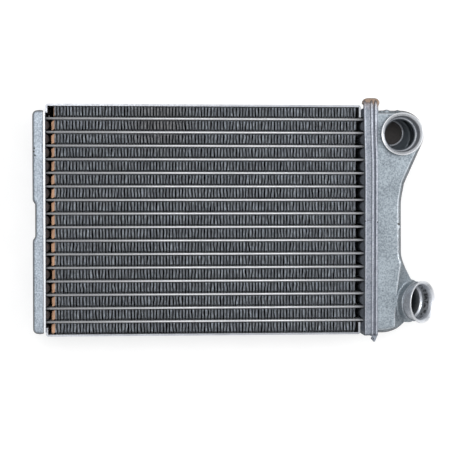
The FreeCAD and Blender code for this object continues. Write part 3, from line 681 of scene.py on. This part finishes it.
def fin_metal():
    """Thin fin sheet, bright at both faces and painted near black with shade deeper in the core, with
    copper-brown end folds.
    """
    finish = Finish(
        "folded_fin_sheet", (0.88, 0.94, 1.0), (0.37, 0.41, 0.48), 0.4, (0.4, 0.65),
        speckle_size=1.6, speckle=0.45, cloud_size=11, cloud=0.4, pits=0.0)
    low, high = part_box("fin_02")
    finish.tint(finish.spot(HAZE_PLACE, HAZE_REACH, 0.8 * HAZE_REACH) * 0.3, HAZE_BROWN)
    fold = finish.noise(finish.vector(finish.x, finish.y * 0.25), 1 / (1.3 * MM), 1.0)
    finish.tint(finish.span(fold, 0.35, 0.65, 0.65, 0.0), FOLD_SHADE)
    depth = finish.step("MINIMUM", high.z - finish.z, finish.z - low.z)
    # Painted shade along the fins' front and back edges.
    finish.tint(finish.fade(depth, 0.1, 0.3, 0.8, 0.0), FRONT_EDGE_SHADE)
    # Painted shade: the fins go near black deeper in the core than the louvres.
    behind = EDGE_BAND + LOUVRE_WIDTH * math.cos(math.radians(LOUVRE_ANGLE)) / 2
    finish.tint(finish.fade(depth, behind - 0.2, behind + 0.12), DEPTH_SHADE)
    finish.shader["Specular IOR Level"].default_value = 0.12
    finish.soft_tint(finish.x - low.x, -0.1, 0.15, FOLD_COPPER, 0.9, 0.1)
    return finish.done()


# Fins

def make_fin_tree():
    """Corrugated strip: rounded crests, bands along both faces, louvres between."""
    wiring, size = new_shape_tree("louvred_fin_strip", (
        "Fold Count", "Fold Pitch", "Height", "Depth", "Sheet", "Straight", "Band",
        "Louvre Count", "Louvre Width", "Louvre Angle", "Louvre Extra", "Louvre Shear",
        "Bow", "Sway", "Splay", "Splay Depth", "Seed",
    ))
    folds, pitch, sheet, band = size["Fold Count"], size["Fold Pitch"], size["Sheet"], size["Band"]
    louvres, louvre_width = size["Louvre Count"], size["Louvre Width"]
    quarter = pitch / 4.0
    half_height = size["Height"] * 0.5
    half_depth = size["Depth"] * 0.5
    top = half_height - sheet * 0.5
    foot = top - quarter - size["Straight"]

    # A crest: flats round the bend and a straight at each end.
    bend_share = CREST_FLATS / (CREST_FLATS + 2)
    surface = wiring.grid(2.0, size["Depth"], CREST_FLATS + 3, 2)
    u, v, _ = wiring.position()
    away = abs(u)
    turned = wiring.step("MINIMUM", away / bend_share, 1.0)
    angle = turned * (math.pi / 2) * wiring.step("SIGN", u)
    beyond = wiring.step("MAXIMUM", away - bend_share, 0.0)
    down = beyond / (1 - bend_share) * size["Straight"]
    drop = (1.0 - wiring.step("COSINE", angle)) * quarter
    bent = wiring.vector(wiring.step("SINE", angle) * quarter, top - drop - down, v)
    crest = wiring.thicken(wiring.move(surface, Position=bent), sheet)
    lower_crest = wiring.transform(
        crest, Rotation=(0, 0, math.pi), Translation=wiring.vector(quarter * 2.0))

    # A leg: a band along each face of the core, louvres behind it and a plain middle.
    # The front is bent most, so it has more rows of points than the back.
    tall = foot * 2.0
    edge = half_depth - band
    inner = edge - louvres * louvre_width
    band_level = half_depth - band * 0.5
    first_blade = edge - louvre_width * 0.5
    lean = wiring.step("RADIANS", size["Louvre Angle"])

    def upright(shape, level, turn=0.0):
        """Stand a strip that lies along Y and X up in a leg, at a level of the depth."""
        stood = wiring.transform(shape, Rotation=wiring.vector(y=turn + math.pi / 2))
        return wiring.transform(stood, Translation=wiring.vector(z=level))

    def make_strip(width, rows):
        return wiring.thicken(wiring.grid(width, tall, 2, rows), sheet)

    def make_blade(rows):
        """A louvre whose ends slant, with this many rows of points along it."""
        flat_blade = wiring.grid(louvre_width, tall + size["Louvre Extra"], 2, rows)
        across = wiring.position()[0] / (louvre_width * 0.5)
        sheared = wiring.vector(y=across * size["Louvre Shear"])
        return wiring.thicken(wiring.move(flat_blade, Offset=sheared), sheet)

    front_blade = make_blade(4)
    back_blade = make_blade(2)
    plain = wiring.gather(
        upright(make_strip(band, 5), band_level), upright(make_strip(band, 3), band_level * -1.0),
        upright(make_strip(inner * 2.0, 2), 0.0))

    def make_leg(way):
        """A leg whose blades turn one way in front of the middle and the other behind it."""
        return wiring.gather(
            plain,
            wiring.row(
                upright(front_blade, 0.0, lean * way), louvres,
                wiring.vector(z=first_blade), wiring.vector(z=louvre_width * -1.0)),
            wiring.row(
                upright(back_blade, 0.0, lean * -way), louvres,
                wiring.vector(z=first_blade * -1.0), wiring.vector(z=louvre_width)))

    # The row of folds: a leg on each side of every upper crest.
    start = (folds - 1.0) * -0.5 * pitch
    step = wiring.vector(pitch)
    strip = wiring.gather(
        wiring.row(crest, folds, wiring.vector(start), step),
        wiring.row(make_leg(1.0), folds, wiring.vector(start - quarter), step),
        wiring.row(make_leg(-1.0), folds, wiring.vector(start + quarter), step),
        wiring.row(lower_crest, folds - 1.0, wiring.vector(start), step))

    # Handling has bent the folds, most of all along the front face.
    x, y, z = wiring.position()
    share = y / half_height
    front = wiring.span(z, half_depth * -0.2, half_depth, 0.35, 1.0)

    def bend(shape, amount, spacing, shift):
        """Sideways bend that follows a shape over the height and noise along the strip."""
        noise = wiring.noise(wiring.vector(x, size["Seed"] * 0.7, shift), 1 / (spacing * MM), 1.0)
        return (noise - 0.5) * 2.0 * shape * amount * front

    bow = bend(wiring.step("COSINE", share * (math.pi / 2)), size["Bow"], BOW_SPACING, 0.0)
    sway = bend(wiring.step("SINE", share * math.pi), size["Sway"], SWAY_SPACING, 31.0)

    # The first fold is pushed out over the gap towards its header.
    end = start - quarter
    near = wiring.span(x, end + sheet * 0.6, end + quarter * 1.8, 1.0, 0.0, "LINEAR")
    deep = wiring.span(z, half_depth, half_depth - size["Splay Depth"], 0.0, 1.0, "LINEAR")
    pushed = near * wiring.step("POWER", deep, SPLAY_POWER) * (size["Splay"] * -1.0)
    moved = wiring.move(strip, Offset=wiring.vector(bow + sway + pushed))
    return wiring.finish(moved, size["Material"])


def make_fins():
    """One louvred strip for every fin of the frame."""
    tree = make_fin_tree()
    material = fin_metal()
    names = sorted(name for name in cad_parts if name.startswith("fin_"))
    for number, name in enumerate(names):
        low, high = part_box(name)
        length = high.x - low.x
        folds = round(length / (FOLD_PITCH * MM) + 0.5)
        piece = grow(
            "louvred_" + name, tree, material,
            fold_count=folds, fold_pitch=length / (folds - 0.5),
            height=high.y - low.y, depth=high.z - low.z,
            sheet=FIN_SHEET * MM, straight=CREST_STRAIGHT * MM, band=EDGE_BAND * MM,
            louvre_count=LOUVRES_A_SIDE, louvre_width=LOUVRE_WIDTH * MM,
            louvre_angle=LOUVRE_ANGLE, louvre_extra=LOUVRE_EXTRA * MM,
            louvre_shear=LOUVRE_SHEAR * MM, bow=FIN_BOW * MM, sway=FIN_SWAY * MM,
            splay=END_SPLAY * MM if number else 0.0, splay_depth=SPLAY_DEPTH * MM, seed=number)
        piece.data.transform(Matrix.Translation((low + high) / 2))
        settle(piece, "fin_metal", name)


# Tubes

def make_tube_tree():
    """Row of hollow flat tubes with round edges."""
    wiring, size = new_shape_tree("flat_tube_row", (
        "Tube Count", "Pitch", "Length", "Thickness", "Width", "Wall",
    ))

    def loop(inset):
        across = size["Thickness"] - inset * 2.0
        outline = wiring.put("GeometryNodeCurvePrimitiveQuadrilateral", {
            "Width": across, "Height": size["Width"] - inset * 2.0})
        return wiring.put("GeometryNodeFilletCurve", {
            "Curve": outline, "Radius": across * TUBE_CORNER_SHARE,
            "Count": TUBE_CORNER_FLATS}, mode="POLY")

    section = wiring.put("GeometryNodeFillCurve", {
        "Curve": wiring.gather(loop(0.0), loop(size["Wall"]))}, mode="TRIANGLES")
    tube = wiring.draw_out(section, size["Length"], Offset=wiring.vector(z=1.0))
    centred = wiring.move(tube, Offset=wiring.vector(z=size["Length"] * -0.5))
    lying = wiring.transform(centred, Rotation=(0, math.pi / 2, 0))
    turned = wiring.transform(lying, Rotation=(math.pi / 2, 0, 0))
    start = (size["Tube Count"] - 1.0) * -0.5 * size["Pitch"]
    return wiring.finish(wiring.row(
        turned, size["Tube Count"], wiring.vector(y=start), wiring.vector(y=size["Pitch"]),
    ), size["Material"])


def make_tubes():
    names = sorted(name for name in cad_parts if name.startswith("flat_tube_"))
    low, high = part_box(names[0])
    last_low, last_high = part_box(names[-1])
    piece = grow(
        "flat_tubes", make_tube_tree(), tube_metal(),
        tube_count=len(names), pitch=(low.y - last_low.y) / (len(names) - 1),
        length=high.x - low.x, thickness=high.y - low.y, width=high.z - low.z,
        wall=TUBE_WALL * MM)
    centre = Vector(((low.x + high.x) / 2, (low.y + last_high.y) / 2, (low.z + high.z) / 2))
    piece.data.transform(Matrix.Translation(centre))
    piece.data.shade_smooth()
    settle(piece, "tube_metal", *names)


# Meshes made by hand

@contextmanager
def editing(mesh):
    """Open a mesh for editing and write it back at the end."""
    work = bmesh.new()
    work.from_mesh(mesh)
    yield work
    work.to_mesh(mesh)
    work.free()


def held(share):
    return min(max(share, 0), 1)


def welded_copy(node):
    """Copy of a CAD node with its triangles joined into one skin."""
    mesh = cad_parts[node].data.copy()
    mesh.materials.clear()
    with editing(mesh) as work:
        bmesh.ops.remove_doubles(work, verts=work.verts, dist=WELD * MM)
    return mesh


def rounded_profile(corners):
    """Points of a closed profile whose corners (x, y, radius) are rounded."""
    points = []
    for step, (x, y, radius) in enumerate(corners):
        here = Vector((x, y))
        if radius <= 0:
            points.append(here)
            continue
        before = Vector(corners[step - 1][:2]) - here
        after = Vector(corners[(step + 1) % len(corners)][:2]) - here
        opening = before.angle(after)
        reach = radius / math.tan(opening / 2)
        centre = here + (before.normalized() + after.normalized()).normalized() * (
            radius / math.sin(opening / 2))
        start = here + before.normalized() * reach - centre
        end = here + after.normalized() * reach - centre
        turn = start.angle_signed(end)
        for flat in range(CORNER_FLATS + 1):
            arm = start.copy()
            arm.rotate(Matrix.Rotation(-turn * flat / CORNER_FLATS, 2))
            points.append(centre + arm)
    return points


def turned_piece(name, corners, place, tilt, material):
    """Ring turned from a profile of (radius, height, corner)."""
    points = rounded_profile(corners)
    mesh = bpy.data.meshes.new(name)
    with editing(mesh) as work:
        rings = []
        for step in range(PORT_STEPS):
            angle = 2 * math.pi * step / PORT_STEPS
            rings.append([
                work.verts.new((p.x * MM * math.cos(angle), p.x * MM * math.sin(angle), p.y * MM))
                for p in points])
        for here, there in zip(rings, rings[1:] + rings[:1]):
            for spot in range(len(points)):
                after = (spot + 1) % len(points)
                work.faces.new((here[spot], there[spot], there[after], here[after]))
        bmesh.ops.recalc_face_normals(work, faces=work.faces)
    mesh.transform(Matrix.Translation(place) @ Matrix.Rotation(tilt, 4, "Y"))
    mesh.materials.append(material)
    mesh.shade_smooth()
    return add_piece(name, mesh)


def round_over(carrier, voxel, rounds):
    """Give a closed skin small even faces and smooth them, which rounds its edges."""
    remesh = carrier.modifiers.new("skin", "REMESH")
    remesh.mode = "VOXEL"
    remesh.voxel_size = voxel * MM
    smooth = carrier.modifiers.new("soft", "SMOOTH")
    smooth.factor = 0.5
    smooth.iterations = rounds


def bevelled(node, name, width, material, change=None):
    """Copy of a CAD node with its sharp edges bevelled."""
    skin = welded_copy(node)
    if change:
        change(skin)
    with editing(skin) as work:
        bmesh.ops.dissolve_limit(
            work, angle_limit=math.radians(1), verts=work.verts, edges=work.edges)
    carrier = add_piece(name + "_carrier", skin)
    bevel = carrier.modifiers.new("edges", "BEVEL")
    bevel.width = width * MM
    bevel.segments = BEVEL_STEPS
    bevel.limit_method = "ANGLE"
    bevel.angle_limit = math.radians(BEVEL_FROM)
    return keep_result(carrier, name, material)


# Tanks

def rows_of(items, key, width, kind=float):
    """A value of every item of a mesh, as the rows of an array."""
    values = np.empty(len(items) * width, dtype=kind)
    items.foreach_get(key, values)
    return values.reshape(-1, width)


def mark_bulge(mesh):
    """Keep, for every point, how much the skin bulges there: ridges get a painted highlight with some
    wear, and hollows are darkened.
    """
    count = len(mesh.vertices)
    places = rows_of(mesh.vertices, "co", 3)
    normals = rows_of(mesh.vertex_normals, "vector", 3)
    near, far = rows_of(mesh.edges, "vertices", 2, np.int64).T
    near, far = np.concatenate((near, far)), np.concatenate((far, near))
    neighbours = np.maximum(np.bincount(near, minlength=count), 1)
    span = places[far] - places[near]
    fall = -(span * normals[near]).sum(1) / np.maximum(np.linalg.norm(span, axis=1), 1e-9)
    bulge = np.bincount(near, fall, count) / neighbours
    for _ in range(BULGE_SPREAD):
        bulge = (bulge + np.bincount(near, bulge[far], count) / neighbours) / 2
    bulge_sheen_and_wear = mesh.attributes.new("bulge_sheen_and_wear", "FLOAT", "POINT")
    bulge_sheen_and_wear.data.foreach_set("value", bulge.astype(np.float32))


def pull_waist(mesh):
    """Bring the tank's waist and the hollow above its lower port out to their full reach."""
    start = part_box("port_header")[1].x + WAIST_START * MM
    for vertex in mesh.vertices:
        level = vertex.co.y / MM
        share = held((vertex.co.x - start) / (WAIST_BLEND * MM))
        above_foot = held((level - WAIST_FOOT) / WAIST_FADE)
        below_top = held((WAIST_TOP - level) / WAIST_FADE)
        pull = WAIST_PULL * above_foot * below_top
        for middle, spread, amount in TANK_BULGES:
            pull += amount * math.exp(-((level - middle) / spread) ** 2 / 2)
        vertex.co.x += share * pull * MM


def soften(node, name, share, material, lumps, change=None):
    """Pressed-sheet version of a tank, rounded over, with drops of braze (place, size) on it."""
    skin = welded_copy(node)
    if change:
        change(skin)
    with editing(skin) as work:
        for place, size in lumps:
            stretch = Matrix.Diagonal((size[0] * MM, size[1] * MM, size[2] * MM, 1))
            bmesh.ops.create_icosphere(
                work, subdivisions=2, radius=1,
                matrix=Matrix.Translation(Vector(place) * MM) @ stretch)
    carrier = add_piece(name + "_carrier", skin)
    round_over(carrier, TANK_VOXEL, TANK_SMOOTHING)
    thin = carrier.modifiers.new("thin", "DECIMATE")
    thin.ratio = share
    piece = keep_result(carrier, name, material)
    piece.data.shade_smooth()
    mark_bulge(piece.data)
    settle(piece, "tank_metal", node)


def make_tanks(sheet):
    # Shaded copy of the tank finish: painted darker than the return tank, as if less lit.
    shaded_tank_sheet = tank_metal("port_tank_sheet", (0.43, 0.49, 0.54), (0.18, 0.21, 0.24), 0.4)
    soften("inlet_outlet_tank", "pressed_port_tank", TANK_SHARE, shaded_tank_sheet, TANK_LUMPS, pull_waist)
    x, y = BACK_RING
    place = (x * MM, y * MM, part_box("inlet_outlet_tank")[0].z + TANK_WALL * MM)
    inner = BACK_RING_RADIUS - BACK_RING_WIDTH / 2
    outer = BACK_RING_RADIUS + BACK_RING_WIDTH / 2
    ring = turned_piece("tank_back_ring", (
        (inner, -BACK_RING_ROOT, 0), (outer, -BACK_RING_ROOT, 0),
        (outer, BACK_RING_RISE, 0.3), (inner, BACK_RING_RISE, 0.3),
    ), place, 0.0, sheet)
    settle(ring, "tank_metal", "inlet_outlet_tank")
    # Lit copy of the tank finish: painted lighter than the port tank, as if more lit.
    bright = tank_metal("return_tank_sheet", (0.46, 0.52, 0.585), (0.21, 0.24, 0.28), 0.0)
    soften("return_tank", "pressed_return_tank", RETURN_SHARE, bright, RETURN_LUMPS)


# Headers

def header_edges():
    """Core side, lip, top, front and upper end of the port header, the top without its cap."""
    low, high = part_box("port_header")
    core_side = low.x + RIB_HEIGHT * MM
    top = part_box("inlet_outlet_tank")[1].y + HEADER_ABOVE_TANK * MM
    return core_side, core_side + HEADER_WIDTH * MM, top, high.z, high.y


def open_front(mesh):
    """Take the cap off the port header and sink its front, ready for the formed face."""
    _, _, top, front, _ = header_edges()
    with editing(mesh) as work:
        cut = bmesh.ops.bisect_plane(
            work, geom=work.verts[:] + work.edges[:] + work.faces[:], dist=WELD * MM,
            plane_co=(0, top, 0), plane_no=(0, 1, 0), clear_outer=True)
        rim = [item for item in cut["geom_cut"] if isinstance(item, bmesh.types.BMEdge)]
        bmesh.ops.edgeloop_fill(work, edges=rim)
        for vertex in work.verts:
            if vertex.co.z > front - FACE_ZONE * MM:
                vertex.co.z = front - FACE_SHEET * MM
        bmesh.ops.remove_doubles(work, verts=work.verts, dist=WELD * MM)
        bmesh.ops.triangulate(work, faces=work.faces)
        bmesh.ops.recalc_face_normals(work, faces=work.faces)


def make_cap():
    """Domed cap that closes the front of the port header above the tank."""
    core_side, lip, top, front, end = header_edges()
    shoulder = end - CAP_HEIGHT * MM
    wide = shoulder + CAP_SWELL * MM
    near, far = core_side - CAP_SWELL * MM, lip + CAP_OVERHANG * MM
    corner, fillet, tip = CAP_ROUND * MM, CAP_FILLET * MM, CAP_TIP * MM
    outline = rounded_profile((
        (core_side, top - MM, 0), (lip, top - MM, 0), (lip, shoulder, fillet),
        (far, wide, tip), (far, end, corner), (near, end, corner),
        (near, wide, fillet), (core_side, shoulder, fillet)))
    mesh = bpy.data.meshes.new("header_cap")
    with editing(mesh) as work:
        under = [work.verts.new((p.x, p.y, front - CAP_DEPTH * MM)) for p in outline]
        over = [work.verts.new((p.x, p.y, front - CAP_SUNK * MM)) for p in outline]
        work.faces.new(list(reversed(under)))
        work.faces.new(over)
        for step in range(len(outline)):
            after = (step + 1) % len(outline)
            work.faces.new((under[step], under[after], over[after], over[step]))
        bmesh.ops.triangulate(work, faces=work.faces)
        bmesh.ops.recalc_face_normals(work, faces=work.faces)
    carrier = add_piece("header_cap_carrier", mesh)
    round_over(carrier, CAP_VOXEL, CAP_SMOOTHING)
    piece = keep_result(carrier, "header_cap", header_metal("cap_sheet", 0.0, 0.85))
    piece.data.shade_smooth()
    settle(piece, "header_metal", "port_header")


def make_header_face():
    """Front of the port header, with its ridge, channel, bead, groove and lip."""
    core_side, _, top, front, header_end = header_edges()
    profile = rounded_profile([(x * MM, z * MM, r * MM) for x, z, r in FACE_PROFILE])
    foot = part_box("inlet_outlet_tank")[0].y - HEADER_ABOVE_TANK * MM
    end = header_end - FACE_END * MM
    lean_start = FACE_LEAN_START * MM
    mesh = bpy.data.meshes.new("header_face")
    with editing(mesh) as work:
        rows = []
        for step in range(FACE_ROWS + 1):
            y = foot + (end - foot) * step / FACE_ROWS
            beyond = max(y - top, 0) / (end - top)
            drop = FACE_DROP * MM * beyond ** 3
            up = held((y - lean_start) / (end - lean_start))
            side = core_side - FACE_LEAN * MM * up * up * (3 - 2 * up)
            rows.append([work.verts.new((side + p.x, y, front + p.y - drop)) for p in profile])
        for here, there in zip(rows, rows[1:]):
            for spot in range(len(profile)):
                after = (spot + 1) % len(profile)
                work.faces.new((here[spot], here[after], there[after], there[spot]))
        work.faces.new(rows[0])
        work.faces.new(list(reversed(rows[-1])))
        bmesh.ops.recalc_face_normals(work, faces=work.faces)
    mesh.shade_smooth()
    mesh.materials.append(header_metal("header_face_sheet", 0.2, 0.4))
    settle(add_piece("header_face", mesh), "header_metal", "port_header")


def make_headers():
    material = header_metal("header_sheet", 0.0, 0.7)
    for node, change in (("port_header", open_front), ("return_header", None)):
        piece = bevelled(node, "formed_" + node, HEADER_BEVEL, material, change)
        settle(piece, "header_metal", node)
    curl = turned_piece("header_curl", CURL_PROFILE, Vector(CURL_PLACE) * MM, 0.0, material)
    settle(curl, "header_metal", "port_header")
    make_header_face()
    make_cap()


# Ports, side plates and baffle

def port_profile(stand):
    """Profile of a port's neck, rim, mouth, socket and bore, above its seat."""
    shelf = stand - SOCKET_DEPTH
    return (
        (BORE_RADIUS, -NECK_ROOT, 0.3),
        (NECK_RADIUS, -NECK_ROOT, 0.3),
        (NECK_RADIUS, stand - RIM_START, 1.0),
        (RIM_RADIUS, stand - RIM_HEIGHT, 0.6),
        (RIM_RADIUS, stand, 0.3),
        (RIM_RADIUS - RIM_LIP, stand, 0.2),
        (SOCKET_RADIUS + MOUTH_SPREAD, stand - MOUTH_LEDGE, 0.5),
        (SOCKET_RADIUS, stand - MOUTH_DEPTH, 0.9),
        (SOCKET_RADIUS, shelf, 0.3),
        (BORE_RADIUS, shelf - BORE_STEP, 0.4),
    )


def make_ports():
    material = port_metal()
    for node, (seat, axis, stand) in zip(("upper_port", "lower_port"), port_axes()):
        tilt = math.atan2(axis.x, axis.z)
        piece = turned_piece("turned_" + node, port_profile(stand / MM), seat, tilt, material)
        settle(piece, "port_metal", node)


def dress_plates(sheet):
    """The side plates keep their own shape."""
    for name in ("top_side_plate", "bottom_side_plate"):
        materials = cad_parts[name].data.materials
        materials.clear()
        materials.append(sheet)


def push_tab(mesh):
    """Carry the end of the baffle's tab out through the wall of the waist."""
    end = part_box("baffle")[1].x - TAB_END * MM
    for vertex in mesh.vertices:
        if vertex.co.x > end:
            vertex.co.x += TAB_REACH * MM


def make_baffle(sheet):
    piece = bevelled("baffle", "staked_baffle", TAB_BEVEL, sheet, push_tab)
    settle(piece, "plate_metal", "baffle")


# Studio

def make_floor():
    """Pale floor that stays white to the eye, with a painted shadow under the core and painted shade
    close to the part in what metal reflects of it.
    """
    mesh = bpy.data.meshes.new("floor")
    reach = FLOOR_REACH
    mesh.from_pydata(
        [(-reach, -reach, 0), (reach, -reach, 0), (reach, reach, 0), (-reach, reach, 0)],
        [], [(0, 1, 2, 3)])
    material = bpy.data.materials.new("pale_floor")
    material.use_nodes = True
    material.node_tree.nodes.clear()
    wiring = Wiring(material.node_tree)
    place = wiring.put("ShaderNodeTexCoord", output="Object")
    x, y, _ = wiring.parts(place)

    def outside(low_x, low_y, high_x, high_y):
        """How far a point of the floor lies outside a box, seen from above."""
        return wiring.step("MAXIMUM", *(
            abs(value - (first + last) / 2) - (last - first) / 2
            for value, first, last in ((x, low_x, high_x), (y, low_y, high_y))))

    low, high = cad_box
    top_low, top_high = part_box("top_side_plate")
    foot_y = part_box("bottom_side_plate")[0].y
    pan_low, pan_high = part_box("return_tank")
    plates = outside(
        top_low.x + PLATE_END_INSET * MM, foot_y + PLATE_INSET * MM,
        top_high.x - PLATE_END_INSET * MM, top_high.y - PLATE_INSET * MM)
    rows = outside(
        pan_high.x - ROW_OVERLAP * MM, pan_low.y + ROW_INSET * MM,
        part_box("port_header")[1].x, pan_high.y - ROW_INSET * MM)
    # Painted shadow: under the plates and the rows of fins the floor is dark, in its colour and in its
    # glow.
    under = wiring.step("MINIMUM", wiring.fade(plates, 0.0, 0.8), wiring.fade(rows, 0.0, 1.5))
    # Painted shade in reflections: the glow that glossy and transmission rays see fades close to the
    # part.
    reflection_shade_falloff = wiring.fade(outside(low.x, low.y, high.x, high.y), -10, 160, 0.05, 1.0)
    camera, glossy, through = wiring.put("ShaderNodeLightPath", output=(
        "Is Camera Ray", "Is Glossy Ray", "Is Transmission Ray"))
    seen = wiring.step("MAXIMUM", camera, wiring.step("MAXIMUM", glossy, through) * reflection_shade_falloff)
    tone = wiring.span(wiring.noise(place, 60.0, 2.0), 0.0, 1.0, 0.50, 0.54) * under
    matt = wiring.put("ShaderNodeBsdfDiffuse", {"Color": wiring.grey(tone)})
    glow = wiring.put("ShaderNodeEmission", {"Strength": seen * under * 0.6})
    both = wiring.put("ShaderNodeAddShader", {0: matt, 1: glow})
    wiring.put("ShaderNodeOutputMaterial", {"Surface": both}, ())
    mesh.materials.append(material)
    add_piece("floor", mesh)


def make_light():
    """Soft room, bright overhead and dim at the horizon, with two softboxes."""
    world = bpy.data.worlds.new("studio")
    bpy.context.scene.world = world
    world.use_nodes = True
    wiring = Wiring(world.node_tree)
    height = wiring.parts(wiring.put("ShaderNodeTexCoord", output="Generated"))[2]
    tone = wiring.span(height, 0.25, 0.8, 0.12, 0.8)
    wiring.join(wiring.grey(tone), world.node_tree.nodes["Background"].inputs["Color"])
    for name, place, width, depth, energy in LAMPS:
        lamp = bpy.data.lights.new(name, "AREA")
        lamp.shape = "RECTANGLE"
        lamp.size = width
        lamp.size_y = depth
        lamp.energy = energy
        softbox = add_piece(name, lamp)
        softbox.location = place
        softbox.rotation_euler = (-softbox.location).to_track_quat("-Z", "Y").to_euler()


def make_camera():
    place = Vector(CAMERA_PLACE) * MM
    back = (place - Vector(CAMERA_AIM) * MM).normalized()
    right = Vector((0, 1, 0)).cross(back).normalized()
    up = back.cross(right)
    data = bpy.data.cameras.new("camera")
    data.lens = CAMERA_LENS
    camera = add_piece("camera", data)
    turn = Matrix((right, up, back)).transposed().to_4x4()
    camera.matrix_world = Matrix.Translation(place) @ turn
    bpy.context.scene.camera = camera


bpy.context.scene.view_settings.view_transform = "Standard"
plate_sheet = plate_metal()
make_fins()
make_tubes()
make_tanks(plate_sheet)
make_headers()
make_ports()
dress_plates(plate_sheet)
make_baffle(plate_sheet)
make_floor()
make_light()
make_camera()
